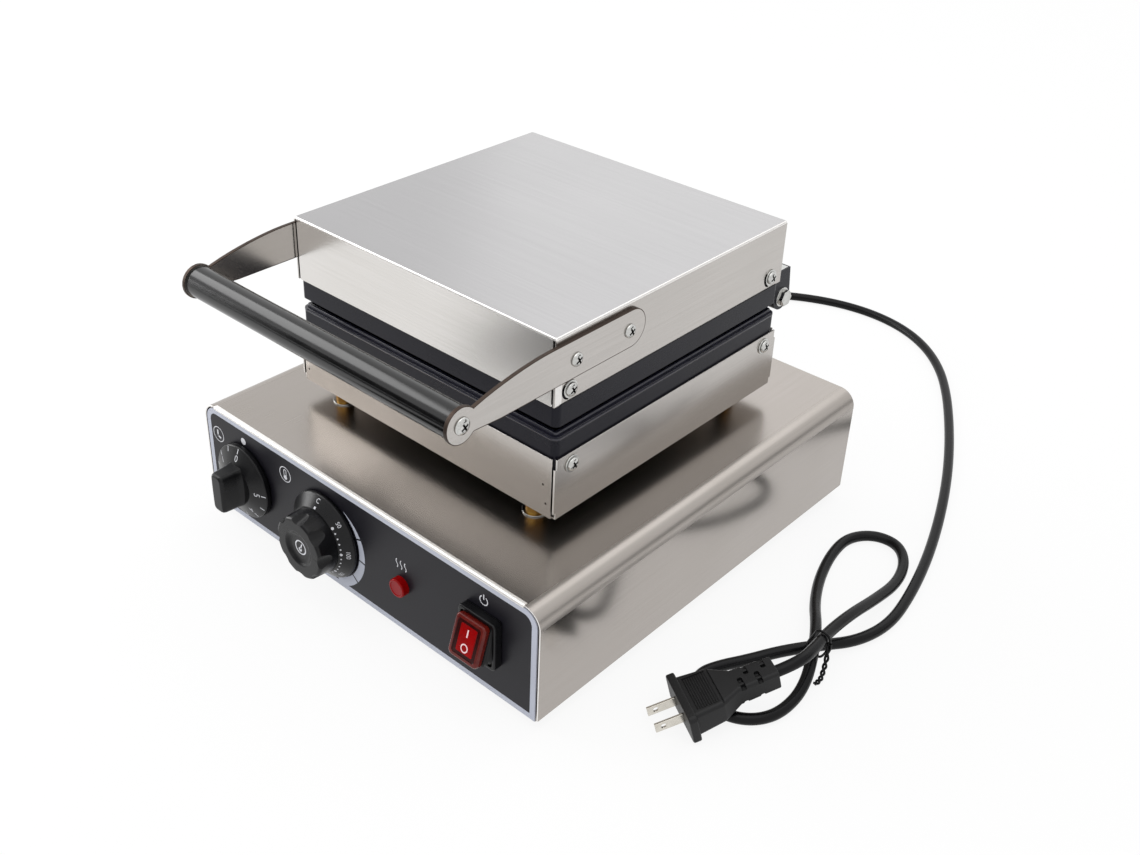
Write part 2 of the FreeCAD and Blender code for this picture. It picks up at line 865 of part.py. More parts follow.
def feet():
    rubber = []
    screws = []
    nuts = []
    rise = "foot_height + base_sheet"
    for index, (x, y) in enumerate(foot_spots()):
        pad_shape = taper(f"foot_cone_{index}", "foot_radius - foot_taper", "foot_radius", rise, x, y, "0")
        bore = drum(f"foot_bore_{index}", "screw_hole", rise, x, y, "0")
        recess = drum(f"foot_recess_{index}", "foot_recess_radius", "foot_recess", x, y, "0")
        rubber.append(cut(f"foot_{index}", pad_shape, [bore, recess]))
        length = "floor_z - foot_recess + nut_height + bottom_sheet"
        screws.append(screw(f"foot_screw_{index}", length, x, y, "foot_recess", "-Z"))
        nuts.append(nut(f"foot_nut_{index}", x, y, "floor_z", "+Z"))
    group("rubber_feet", rubber)
    group("foot_screws", screws)
    group("foot_nuts", nuts)
    lips = []
    for x in SIDES:
        for y in SIDES:
            spot = (f"{x}(base_half - base_lip / 2)", f"base_y + {y}lip_screw_y", "foot_height")
            length = "base_sheet + bottom_sheet + nut_height"
            lips.append(screw(f"lip_screw_{len(lips)}", length, *spot, "-Z"))
    group("bottom_screws", lips)


# Controls

def knob_body(label, x):
    """A body whose local Z points out of the front panel, from the face of the fascia."""
    body = new_body(label)
    place(body, x, "fascia_face", "control_z", TOWARDS["-Y"])
    return body


def flatted_circle(sketch, radius):
    """A round section with one flat, for a shaft's end or the bore that it drives."""
    flat = f"({radius} - shaft_flat)"
    chord = f"sqrt(({radius}) ^ 2 - {flat} ^ 2)"
    contour(sketch, [
        (chord, flat),
        (f"-{chord}", flat),
        ("0", f"-({radius})", radius, 1),
        (chord, flat, radius, 1),
    ][1:])


def control_shaft(label, x):
    body = knob_body(label, x)
    inner = sketch_on(body, "XY_Plane", "-(fascia_thickness + panel_sheet + shaft_depth)")
    ring(inner, "0", "0", "shaft_radius")
    pad(body, inner, "fascia_thickness + panel_sheet + shaft_depth + shaft_shoulder")
    tip = sketch_on(body, "XY_Plane", "shaft_shoulder")
    flatted_circle(tip, "shaft_radius")
    pad(body, tip, "shaft_reach - shaft_shoulder")


def shaft_bore(body):
    bore = sketch_on(body, "XY_Plane", "knob_lift")
    flatted_circle(bore, "(shaft_radius + shaft_clearance)")
    pocket(body, bore, "shaft_reach + hole_clearance - knob_lift", reverse=True)


def hollow_skirt(radius, rim, slope_top):
    """Inner line of a knob's skirt, from its axis to its rim."""
    return [
        ("0", "knob_lift"),
        ("hub_radius", "knob_lift"),
        ("hub_radius", f"{slope_top} - knob_roof"),
        (f"{radius} - knob_wall", f"{rim} - knob_wall / 2"),
        (f"{radius} - knob_wall", "knob_lift"),
        (radius, "knob_lift"),
        (radius, rim),
    ]


def timer_knob():
    body = knob_body("timer_knob", "timer_x")
    skirt = sketch_on(body, "XZ_Plane")
    contour(skirt, hollow_skirt("timer_radius", "timer_rim", "timer_slope_top") + [
        ("timer_slope_radius", "timer_slope_top"),
        ("0", "timer_slope_top"),
    ])
    revolve(body, skirt)
    root = sketch_on(body, "XY_Plane", "timer_slope_top - grip_root")
    bowed_bar(root, "grip_base_width / 2", "grip_base_length / 2", "grip_base_bow")
    face = sketch_on(body, "XY_Plane", "grip_height")
    bowed_bar(face, "grip_width / 2", "grip_length / 2", "grip_bow")
    loft(body, [root, face])
    shaft_bore(body)


def bowed_bar(sketch, half_x, half_y, bow):
    """A bar with flat ends and sides that bow outwards."""
    contour(sketch, [
        (half_x, f"-({half_y})"),
        (half_x, half_y, bow, 1),
        (f"-({half_x})", half_y),
        (f"-({half_x})", f"-({half_y})", bow, 1),
    ])


def temp_knob():
    body = knob_body("temp_knob", "temp_x")
    turned = sketch_on(body, "XZ_Plane")
    contour(turned, hollow_skirt("temp_radius", "temp_rim", "temp_slope_top") + [
        ("temp_grip_radius", "temp_slope_top"),
        ("temp_grip_radius", "temp_grip_height - temp_grip_round"),
        ("temp_grip_radius - temp_grip_round", "temp_grip_height", "temp_grip_round", 1),
        ("dish_radius", "temp_grip_height"),
        ("dish_radius - dish_depth", "temp_grip_height - dish_depth"),
        ("0", "temp_grip_height - dish_depth"),
    ])
    revolve(body, turned)
    shaft_bore(body)
    flute = sketch_on(body, "XY_Plane", "temp_grip_height")
    ring(flute, "flute_offset", "0", "flute_radius")
    scallop = pocket(body, flute, "temp_grip_height - temp_slope_top - flute_floor")
    pattern = body.newObject("PartDesign::PolarPattern", "temp_knob_flutes")
    pattern.Originals = [scallop]
    pattern.Axis = (origin_item(body, "Z_Axis"), [""])
    pattern.Angle = 360
    bind(pattern, Occurrences="flute_count")
    body.Tip = pattern
    doc.recompute()


def control_unit(label, x, case):
    """A control behind the panel: its case, the bush through the panel and the bore for its shaft."""
    bush = drum(label + "_bush", "bush_radius", "panel_sheet + fascia_thickness",
                x, "panel_back", "control_z", "-Y")
    bore = drum(label + "_bore", "shaft_radius + shaft_clearance",
                "fascia_thickness + panel_sheet + shaft_depth + shaft_shoulder",
                x, "fascia_face", "control_z", "+Y")
    node(cut(label, fuse(label + "_solid", [case, bush]), [bore]), label)


def controls():
    half = "timer_body_size / 2"
    case = block("timer_case", f"timer_x - {half}", "panel_back", f"control_z - {half}",
                 "timer_body_size", "timer_body_depth", "timer_body_size")
    control_unit("timer_body", "timer_x", case)
    case = drum("thermostat_case", "thermostat_radius", "thermostat_depth",
                "temp_x", "panel_back", "control_z", "+Y")
    control_unit("thermostat_body", "temp_x", case)
    control_shaft("timer_shaft", "timer_x")
    control_shaft("thermostat_shaft", "temp_x")
    timer_knob()
    temp_knob()


def heat_lamp():
    rim = drum("lens_rim_disc", "lens_radius", "lens_rim", "lamp_x", "fascia_face", "lamp_z", "-Y")
    crown = taper("lens_crown_cone", "lens_radius", "lens_crown_radius", "lens_crown",
                  "lamp_x", "fascia_face - lens_rim", "lamp_z", "-Y")
    node(fuse("lamp_lens", [rim, crown]), "lamp_lens")
    stem = drum("lamp_body", "lamp_body_radius", "lamp_body_length",
                "lamp_x", "fascia_face", "lamp_z", "+Y")
    node(stem, "lamp_body")
    ring_nut = nut("lamp_nut", "lamp_x", "panel_back", "lamp_z", "+Y",
                   "lamp_nut_radius", "lamp_nut_height", "lamp_hole")
    node(ring_nut, "lamp_nut")


def rocker_switch():
    outer = block("frame_outer", "switch_x - frame_width / 2", "fascia_face - frame_thickness",
                  "switch_z - frame_height / 2", "frame_width", "frame_thickness", "frame_height")
    inner = block("frame_inner", "switch_x - frame_width / 2 + frame_wall", "fascia_face - frame_thickness",
                  "switch_z - frame_height / 2 + frame_wall",
                  "frame_width - 2 * frame_wall", "frame_thickness", "frame_height - 2 * frame_wall")
    reach = "(frame_width / 2 - frame_wall + axle_engage)"
    bearing = drum("frame_bearing", "axle_radius + shaft_clearance", f"2 * {reach} + 2 * hole_clearance",
                   f"switch_x - {reach} - hole_clearance", "fascia_face - pivot_out", "switch_z", "+X")
    node(cut("switch_frame", outer, [inner, bearing]), "switch_frame")
    node(block("switch_body", "switch_x - switch_body_width / 2", "fascia_face",
               "switch_z - switch_body_height / 2",
               "switch_body_width", "switch_body_depth", "switch_body_height"),
         "switch_body")
    pressed = Rotation(Vector(1, 0, 0), -number("rocker_tilt"))
    skirt = new_body("rocker_skirt")
    place(skirt, "switch_x", "fascia_face - pivot_out", "switch_z", pressed)
    sides = sketch_on(skirt, "XZ_Plane")
    rounded(sides, "cap_width / 2 - cap_inset", "cap_height / 2 - cap_inset", "cap_corner - cap_inset")
    pad(skirt, sides, "cap_back")
    axle = sketch_on(skirt, "YZ_Plane")
    ring(axle, "0", "0", "axle_radius")
    pad(skirt, axle, f"2 * {reach}", middle=True)
    cap = new_body("rocker_cap")
    place(cap, "switch_x", "fascia_face - pivot_out", "switch_z", pressed)
    face = sketch_on(cap, "XZ_Plane", "cap_back")
    rounded(face, "cap_width / 2", "cap_height / 2", "cap_corner")
    pad(cap, face, "cap_front - cap_back")


def terminal_block():
    left = "terminal_x - terminal_length / 2"
    front = "base_y + terminal_y - terminal_width / 2"
    case = block("terminal_case", left, front, "floor_z",
                 "terminal_length", "terminal_width", "terminal_height")
    wells = []
    for step in (-1, 0, 1):
        wells.append(drum(f"terminal_well_{step + 1}", "screw_radius", "terminal_screw_depth",
                          f"terminal_x + {step} * terminal_pitch", "base_y + terminal_y",
                          "floor_z + terminal_height - terminal_screw_depth"))
    node(cut("terminal_block", case, wells), "terminal_block")


# Posts and lower head

def posts():
    spacers = []
    bolts = []
    nuts = []
    for x in SIDES:
        for y in SIDES:
            spot = (f"{x}post_x", f"head_y + {y}post_y")
            name = f"post_{len(spacers)}"
            hole = "post_bolt_radius + hole_clearance"
            body = drum(name + "_body", "post_radius", "post_height", *spot, "base_top")
            bore = drum(name + "_bore", hole, "post_height", *spot, "base_top")
            spacers.append(cut(name, body, [bore]))
            length = "housing_sheet + post_height + base_sheet + post_nut_height + bolt_tail"
            bolts.append(screw(name + "_bolt", length, *spot, "housing_z + housing_sheet", "+Z",
                               "post_bolt_radius", "post_head_radius", "post_head_height"))
            nuts.append(nut(name + "_nut", *spot, "base_top - base_sheet", "-Z",
                            "post_nut_radius", "post_nut_height", hole))
    group("support_posts", spacers)
    group("post_bolts", bolts)
    group("post_nuts", nuts)
    low = "base_top - base_sheet - conduit_end"
    height = "2 * conduit_end + base_sheet + post_height + housing_sheet"
    pipe = drum("conduit_pipe", "conduit_radius", height, "0", "head_y + conduit_y", low)
    bore = drum("conduit_bore", "conduit_radius - conduit_wall", height, "0", "head_y + conduit_y", low)
    node(cut("wire_conduit", pipe, [bore]), "wire_conduit")


def lower_housing():
    body = new_body("lower_housing")
    place(body, "0", "head_y", "housing_z")
    outline = sketch_on(body, "XY_Plane")
    centred(outline, "housing_width / 2", "housing_depth / 2")
    pad(body, outline, "housing_height")
    inside = sketch_on(body, "XY_Plane", "housing_height")
    centred(inside, "housing_width / 2 - housing_sheet", "housing_depth / 2 - housing_sheet")
    pocket(body, inside, "housing_height - housing_sheet")
    floor = sketch_on(body, "XY_Plane", "housing_sheet")
    post_holes(floor, "0")
    pocket(body, floor, "housing_sheet")
    side = sketch_on(body, "YZ_Plane")
    for y in SIDES:
        ring(side, f"{y}lower_screw_y", "housing_height - lower_screw_drop", "screw_hole")
    pocket(body, side)


def cavity(body, top, depth, reverse):
    """The baking recess inside the fence."""
    recess = sketch_on(body, "XY_Plane", top)
    centred(recess, "cavity_x", "cavity_y")
    pocket(body, recess, depth, reverse)


def waffle_grid(body, floor, reverse):
    """Cross ridges that part the recess into four waffles, and rows of tapered studs in each."""
    ridges = sketch_on(body, "XY_Plane", floor)
    half = "ridge_width / 2"
    contour(ridges, [
        (f"-{half}", "-cavity_y"), (half, "-cavity_y"), (half, f"-{half}"), ("cavity_x", f"-{half}"),
        ("cavity_x", half), (half, half), (half, "cavity_y"), (f"-{half}", "cavity_y"),
        (f"-{half}", half), ("-cavity_x", half), ("-cavity_x", f"-{half}"), (f"-{half}", f"-{half}"),
    ])
    pad(body, ridges, "ridge_height", reverse)
    first_row = sketch_on(body, "XY_Plane", floor)
    count = int(number("stud_count"))
    for side in SIDES:
        for row in SIDES:
            for step in range(count):
                x = f"{side}cell_x + ({step} - (stud_count - 1) / 2) * stud_pitch_x"
                y = f"{row}cell_y - (stud_count - 1) / 2 * stud_pitch_y"
                reach = "stud_size / 2"
                rectangle(first_row, f"{x} - {reach}", f"{y} - {reach}", f"{x} + {reach}", f"{y} + {reach}")
    studs = pad(body, first_row, "stud_height", reverse, draft="stud_draft")
    pattern = body.newObject("PartDesign::LinearPattern", body.Name + "_studs")
    pattern.Originals = [studs]
    pattern.Direction = (origin_item(body, "Y_Axis"), [""])
    bind(pattern, Length="(stud_count - 1) * stud_pitch_y", Occurrences="stud_count")
    body.Tip = pattern
    doc.recompute()


def hinge_lugs(body, outline, outer, hole_z):
    """Two lugs at the back of a plate, each with the hinge bolt's hole."""
    for start in (f"{outer} - lug_width", f"-({outer})"):
        lug = sketch_on(body, "YZ_Plane", start)
        contour(lug, outline)
        pad(body, lug, "lug_width")
    hole = sketch_on(body, "YZ_Plane")
    ring(hole, "plate_depth / 2 + hinge_setback", hole_z, "hinge_hole")
    pocket(body, hole)


def clamp_bosses(body, start, reverse):
    bosses = sketch_on(body, "XY_Plane", start)
    for x in SIDES:
        ring(bosses, f"{x}boss_x", "0", "boss_radius")
    pad(body, bosses, "boss_length", reverse)
    end = f"{start} - boss_length" if reverse else f"{start} + boss_length"
    threads = sketch_on(body, "XY_Plane", end)
    for x in SIDES:
        ring(threads, f"{x}boss_x", "0", "screw_hole")
    pocket(body, threads, "boss_thread", reverse)


def lower_plate():
    body = new_body("lower_plate")
    place(body, "0", "head_y", "housing_top")
    outline = sketch_on(body, "XY_Plane", "-plate_skirt")
    rounded(outline, "plate_width / 2", "plate_depth / 2", "plate_corner")
    pad(body, outline, "plate_skirt + lower_band")
    under = sketch_on(body, "XY_Plane", "-plate_skirt")
    centred(under, "plate_width / 2 - skirt_wall", "plate_depth / 2 - skirt_wall")
    pocket(body, under, "plate_skirt + lower_under", reverse=True)
    gutter = sketch_on(body, "XY_Plane", "lower_band")
    centred(gutter, "plate_width / 2 - rim_wall", "plate_depth / 2 - rim_wall")
    centred(gutter, "cavity_x + fence_wall", "cavity_y + fence_wall")
    pocket(body, gutter, "gutter_depth")
    fence = sketch_on(body, "XY_Plane", "lower_band - gutter_depth")
    centred(fence, "cavity_x + fence_wall", "cavity_y + fence_wall")
    pad(body, fence, "fence_top - lower_band + gutter_depth")
    cavity(body, "fence_top", "fence_top - lower_floor", False)
    hinge_x = "plate_depth / 2"
    axis = "(plate_depth / 2 + hinge_setback)"
    rise = "(lower_band + hinge_rise)"
    hinge_lugs(body, [
        (f"{hinge_x} - rim_wall", "lug_foot"),
        (axis, f"{rise} - lug_radius"),
        (f"{axis} + lug_radius", rise, "lug_radius", 1),
        (axis, f"{rise} + lug_radius", "lug_radius", 1),
        (f"{axis} - lug_radius", rise, "lug_radius", 1),
        (f"{axis} - lug_radius", "lower_band - lug_gap"),
        (f"{hinge_x} - rim_wall", "lower_band - lug_gap"),
    ], "inner_lug", rise)
    clamp_bosses(body, "lower_under", True)
    screws = sketch_on(body, "YZ_Plane")
    for y in SIDES:
        ring(screws, f"{y}lower_screw_y", "-lower_screw_drop", "screw_hole")
    pocket(body, screws)
    waffle_grid(body, "lower_floor", False)


def upper_plate():
    body = new_body("upper_plate")
    place(body, "0", "head_y", "upper_z")
    outline = sketch_on(body, "XY_Plane")
    rounded(outline, "plate_width / 2", "plate_depth / 2", "plate_corner")
    pad(body, outline, "upper_band")
    skirt = sketch_on(body, "XY_Plane", "upper_band")
    centred(skirt, "skirt_half_x", "skirt_half_y")
    pad(body, skirt, "upper_skirt")
    over = sketch_on(body, "XY_Plane", "upper_band + upper_skirt")
    centred(over, "skirt_half_x - skirt_wall", "skirt_half_y - skirt_wall")
    pocket(body, over, "upper_band + upper_skirt - upper_over")
    cavity(body, "0", "cavity_depth", True)
    axis = "(plate_depth / 2 + hinge_setback)"
    rise = "(hinge_rise - parting_gap)"
    wall = "lid_depth / 2 + lug_gap"
    hinge_lugs(body, [
        (f"{axis} - lug_radius", rise),
        (axis, f"{rise} - lug_radius", "lug_radius", 1),
        (f"{axis} + lug_radius", rise, "lug_radius", 1),
        (f"{axis} + lug_back", f"{rise} + lug_top"),
        (wall, f"{rise} + lug_top"),
        (wall, "upper_band - lug_gap"),
        ("plate_depth / 2 - rim_wall", "upper_band - lug_gap"),
        ("plate_depth / 2 - rim_wall", "lug_gap"),
        (f"{axis} - lug_radius", "lug_gap"),
    ], "lug_outer", rise)
    clamp_bosses(body, "upper_over", False)
    screws = sketch_on(body, "YZ_Plane")
    for y in SIDES:
        ring(screws, f"{y}lid_screw_y", "upper_band + slot_rise", "screw_hole")
    pocket(body, screws)
    waffle_grid(body, "cavity_depth", True)


def heater(label, z, clamp_z, screw_z, axis):
    """A heating element bent to an M, the bar that clamps it and the bar's two screws."""
    def spot(x, y):
        return point(x, f"head_y + {y}", z)
    route = [
        spot("-heater_end", "heater_back"), spot("-heater_outer_x", "heater_back"),
        spot("-heater_outer_x", "-heater_front"), spot("-heater_inner_x", "-heater_front"),
        spot("-heater_inner_x", "heater_loop"), spot("heater_inner_x", "heater_loop"),
        spot("heater_inner_x", "-heater_front"), spot("heater_outer_x", "-heater_front"),
        spot("heater_outer_x", "heater_back"), spot("heater_end", "heater_back"),
    ]
    shape_node(label + "_heater", tube_along(route, number("heater_radius"), number("heater_bend"))[0])
    bar = block(label + "_bar", "-clamp_half", "head_y - clamp_width / 2", clamp_z,
                "2 * clamp_half", "clamp_width", "clamp_thickness")
    holes = [drum(f"{label}_bar_hole{x}", "screw_hole", "clamp_thickness", f"{x}boss_x", "head_y", clamp_z)
             for x in SIDES]
    node(cut(label + "_clamp", bar, holes), label + "_heater_clamp")
    length = "clamp_thickness + boss_thread - screw_crown"
    group(label + "_clamp_screws", [
        screw(f"{label}_clamp_screw{x}", length, f"{x}boss_x", "head_y", screw_z, axis) for x in SIDES])


def heaters():
    under = "housing_top + lower_under"
    heater("lower", f"{under} - heater_gap - heater_radius", f"{under} - boss_length - clamp_thickness",
           f"{under} - boss_length - clamp_thickness", "-Z")
    over = "upper_z + upper_over"
    heater("upper", f"{over} + heater_gap + heater_radius", f"{over} + boss_length",
           f"{over} + boss_length + clamp_thickness", "+Z")


# Upper head

def lid_cover():
    body = new_body("lid_cover")
    place(body, "0", "head_y", "lid_z")
    outline = sketch_on(body, "XY_Plane")
    rounded(outline, "lid_half", "lid_depth / 2", "lid_round")
    pad(body, outline, "lid_height")
    inside = sketch_on(body, "XY_Plane")
    centred(inside, "lid_half - lid_sheet", "lid_depth / 2 - lid_sheet")
    pocket(body, inside, "lid_height - lid_sheet", reverse=True)
    side = sketch_on(body, "YZ_Plane")
    for y in SIDES:
        slot_sides = (f"{y}lid_screw_y - slot_width / 2", f"{y}lid_screw_y + slot_width / 2")
        contour(side, [
            (slot_sides[0], "-lid_sheet"),
            (slot_sides[1], "-lid_sheet"),
            (slot_sides[1], "slot_rise"),
            (f"{y}lid_screw_y", "slot_rise + slot_width / 2", "slot_width / 2", 1),
            (slot_sides[0], "slot_rise", "slot_width / 2", 1),
        ])
    for spot in ("arm_screw_front", "arm_screw_rear"):
        ring(side, f"-{spot}", "arm_screw_rise", "screw_hole")
    pocket(body, side)


def handle_arms():
    angle = "neck_angle * 1 deg"
    neck_y = f"-handle_reach + arm_end_radius * cos({angle})"
    neck_z = f"arm_end_radius * sin({angle})"
    for label, start in (("left_arm", "-lid_half - arm_thickness"), ("right_arm", "lid_half")):
        body = new_body(label)
        place(body, "0", "head_y", "lid_z")
        plate = sketch_on(body, "YZ_Plane", start)
        contour(plate, [
            ("-arm_rear", "arm_rise"),
            ("-arm_rear + arm_height / 2", "arm_mid", "arm_height / 2", 1),
            ("-arm_rear", "arm_top", "arm_height / 2", 1),
            ("-arm_shoulder", "arm_top"),
            (neck_y, f"handle_rise + {neck_z}", "arm_sweep", 1),
            ("-handle_reach", "handle_rise + arm_end_radius", "arm_end_radius", 1),
            ("-handle_reach - arm_end_radius", "handle_rise", "arm_end_radius", 1),
            ("-handle_reach", "handle_rise - arm_end_radius", "arm_end_radius", 1),
            (neck_y, f"handle_rise - {neck_z}", "arm_end_radius", 1),
            ("-arm_heel", "arm_rise"),
        ])
        for spot in ("arm_screw_front", "arm_screw_rear"):
            ring(plate, f"-{spot}", "arm_screw_rise", "screw_hole")
        ring(plate, "-handle_reach", "handle_rise", "screw_hole")
        pad(body, plate, "arm_thickness")


def handle_grip():
    spot = ("-lid_half", "handle_y", "handle_z", "+X")
    pipe = drum("handle_pipe", "handle_radius", "lid_width", *spot)
    bore = drum("handle_bore", "handle_radius - handle_wall", "lid_width", *spot)
    node(cut("handle_grip", pipe, [bore]), "handle_grip")
    plugs = []
    screws = []
    for x, axis, inward in (("-", "-X", "+X"), ("", "+X", "-X")):
        face = (f"{x}lid_half", "handle_y", "handle_z", inward)
        slug = drum(f"handle_plug{x}", "handle_radius - handle_wall - handle_gap",
                    "handle_plug_length", *face)
        thread = drum(f"handle_thread{x}", "screw_hole", "handle_plug_length", *face)
        plugs.append(cut(f"handle_insert{x}", slug, [thread]))
        outer = (f"{x}(lid_half + arm_thickness)", "handle_y", "handle_z", axis)
        screws.append(screw(f"handle_screw{x}", "arm_thickness + handle_plug_length - screw_crown", *outer))
    group("handle_plugs", plugs)
    group("handle_screws", screws)


def side_fasteners():
    """Screws in the sides of the two heads and the arms, with their washers and nuts."""
    lid_screws, lid_washers, lower_screws, lower_washers, arm_screws, arm_nuts = [], [], [], [], [], []
    for x, axis, inward in (("-", "-X", "+X"), ("", "+X", "-X")):
        for y in SIDES:
            spot = (f"head_y + {y}lid_screw_y", "lid_z + slot_rise", axis)
            name = f"lid_screw_{len(lid_screws)}"
            lid_washers.append(washer(name + "_washer", f"{x}lid_half", *spot))
            grip = "washer_thickness + lid_sheet + skirt_gap + skirt_wall"
            lid_screws.append(screw(name, grip, f"{x}(lid_half + washer_thickness)", *spot))
            spot = (f"head_y + {y}lower_screw_y", "housing_top - lower_screw_drop", axis)
            name = f"lower_screw_{len(lower_screws)}"
            lower_washers.append(washer(name + "_washer", f"{x}housing_width / 2", *spot))
            grip = "washer_thickness + housing_sheet + plate_gap + skirt_wall"
            lower_screws.append(screw(name, grip, f"{x}(housing_width / 2 + washer_thickness)", *spot))
        for reach in ("arm_screw_front", "arm_screw_rear"):
            spot = (f"head_y - {reach}", "lid_z + arm_screw_rise")
            name = f"arm_screw_{len(arm_screws)}"
            length = "arm_thickness + lid_sheet + nut_height + bolt_tail"
            arm_screws.append(screw(name, length, f"{x}(lid_half + arm_thickness)", *spot, axis))
            arm_nuts.append(nut(name + "_nut", f"{x}(lid_half - lid_sheet)", *spot, inward))
    group("lid_screws", lid_screws)
    group("lid_washers", lid_washers)
    group("lower_screws", lower_screws)
    group("lower_washers", lower_washers)
    group("arm_screws", arm_screws)
    group("arm_nuts", arm_nuts)


def hinge_fasteners():
    bolts = []
    nuts = []
    length = "2 * (lug_gap + lug_width) + hinge_nut_height + bolt_tail"
    for x, axis, inward in (("-", "-X", "+X"), ("", "+X", "-X")):
        spot = (f"{x}(lug_outer + lug_gap)", "hinge_y", "hinge_z")
        head = hexagon(f"hinge_head{x}", "hinge_head_radius", "hinge_head_height", *spot, axis)
        shank = drum(f"hinge_shank{x}", "hinge_bolt_radius", length, *spot, inward)
        bolts.append(fuse(f"hinge_bolt{x}", [head, shank]))
        nuts.append(nut(f"hinge_nut{x}", f"{x}(inner_lug - lug_width)", "hinge_y", "hinge_z", inward,
                        "hinge_head_radius", "hinge_nut_height", "hinge_hole"))
    group("hinge_bolts", bolts)
    group("hinge_nuts", nuts)


# Wiring, mains lead and plug

def strain_relief():
    flange = drum("gland_disc", "gland_flange_radius", "gland_flange",
                  "gland_x", "gland_y", "gland_z", "+Y")
    boot = taper("gland_boot", "gland_root_radius", "gland_tip_radius", "gland_length",
                 "gland_x", "gland_y + gland_flange", "gland_z", "+Y")
    neck = drum("gland_stem", "gland_neck_radius", "panel_sheet + gland_neck",
                "gland_x", "gland_y", "gland_z", "-Y")
    node(fuse("strain_relief", [flange, boot, neck]), "strain_relief")
    lock = nut("strain_relief_nut", "gland_x", "gland_y - panel_sheet", "gland_z", "-Y",
               "gland_nut_radius", "gland_nut_height", "gland_neck_radius + hole_clearance")
    node(lock, "strain_relief_nut")


def wiring():
    """Wires from the lead to the terminal block, and on to the switch, the timer and the lower element."""
    front = "base_y + terminal_y - terminal_width / 2 - wire_gap"
    back = "base_y + terminal_y + terminal_width / 2 + wire_gap"
    low = "floor_z + terminal_height / 4"
    high = "floor_z + terminal_height * 3 / 4"
    entry = "gland_y - panel_sheet - gland_neck - wire_gap"
    switch_back = "fascia_face + switch_body_depth + wire_gap"
    timer_back = "panel_back + timer_body_depth + wire_gap"
    riser = ("conduit_radius / 2 - wire_gap", "head_y + conduit_y")
    element = "housing_top + lower_under - heater_gap - heater_radius"
    lead = [
        ("gland_x", entry, "gland_z"),
        ("gland_x", f"{entry} - 2 * wire_bend", "gland_z"),
        ("terminal_x", f"{back} + 2 * wire_bend", low),
        ("terminal_x", back, low),
    ]
    supply = [
        ("terminal_x", front, low),
        ("terminal_x", "head_y", low),
        ("switch_x - wire_offset", "head_y - conduit_y", "switch_z"),
        ("switch_x - wire_offset", switch_back, "switch_z"),
    ]
    timer_feed = [
        ("switch_x + wire_offset", switch_back, "switch_z"),
        ("switch_x + wire_offset", "head_y - post_y", "switch_z"),
        ("switch_x / 2", "head_y - post_y + wire_bend", "switch_z + wire_rise"),
        ("timer_x", "head_y - post_y + wire_bend", "control_z"),
        ("timer_x", timer_back, "control_z"),
    ]
    heater_feed = [
        ("terminal_x - terminal_pitch", front, high),
        ("terminal_x - terminal_pitch", riser[1], high),
        (*riser, high),
        (*riser, element),
        (riser[0], "head_y + heater_back", element),
        ("-heater_end + wire_gap", "head_y + heater_back", element),
    ]
    bend = number("wire_bend")
    tubes = [tube_along([point(*spot) for spot in lead], number("lead_radius"), bend)[0]]
    for route in (supply, timer_feed, heater_feed):
        tubes.append(tube_along([point(*spot) for spot in route], number("wire_radius"), bend)[0])
    shape_node("wiring_loom", Part.makeCompound(tubes))


def thermostat_probe():
    """A sensing bulb under the lower plate and the fine tube that joins it to the thermostat."""
    under = "housing_top + lower_under - heater_gap - bulb_radius"
    bulb = Part.makeCylinder(number("bulb_radius"), number("bulb_length"),
                             point("0", "head_y - bulb_length", under), Vector(0, 1, 0))
    route = [
        ("temp_x", "panel_back + thermostat_depth + wire_gap", "control_z"),
        ("temp_x", "head_y - conduit_y", "control_z"),
        ("-conduit_radius / 2", "head_y + conduit_y", "control_z + conduit_end"),
        ("-conduit_radius / 2", "head_y + conduit_y", f"{under} - capillary_drop"),
        ("0", "head_y + capillary_turn", f"{under} - capillary_drop"),
        ("0", "head_y + capillary_turn", under),
        ("0", "head_y - bulb_radius", under),
    ]
    points = [point(*spot) for spot in route]
    fine = tube_along(points, number("capillary_radius"), number("capillary_bend"))[0]
    shape_node("thermostat_probe", bulb.fuse(fine))


def least_gap(wire, radius):
    """Least clear distance between stretches of the cord that lie apart along it, measured on points."""
    step = radius
    spots = wire.discretize(int(wire.Length / step))
    apart = int(10 * radius / step)
    pairs = ((a, b) for i, a in enumerate(spots) for b in spots[i + apart:])
    return min((a - b).Length for a, b in pairs) - 2 * radius


def mains_lead():
    radius = number("cord_radius")
    points = [point("gland_x", "gland_tip", "gland_z")]
    points += [Vector(*spot) for spot in CORD_ROUTE]
    points.append(Vector(*PLUG_NECK))
    tube, wire, radii = tube_along(points, radius)
    gap = least_gap(wire, radius)
    print("mains lead: bend radii", " ".join(f"{value:.0f}" for value in radii), "mm")
    print(f"mains lead: length {wire.Length:.0f} mm, least gap to itself {gap:.2f} mm")
    if gap < CORD_GAP:
        raise RuntimeError("the mains lead comes too near itself")
    shape_node("mains_lead", tube)


def plug_frame():
    """Where the plug lies: local Z runs from its flange back to its neck, and local X is level."""
    back = (Vector(*PLUG_NECK) - Vector(*PLUG_FACE)).normalize()
    level = Vector(0, 0, 1).cross(back).normalize()
    start = Vector(*PLUG_NECK) - back * number("plug_length")
    return Placement(start, Rotation(level, back.cross(level), back, "ZXY"))


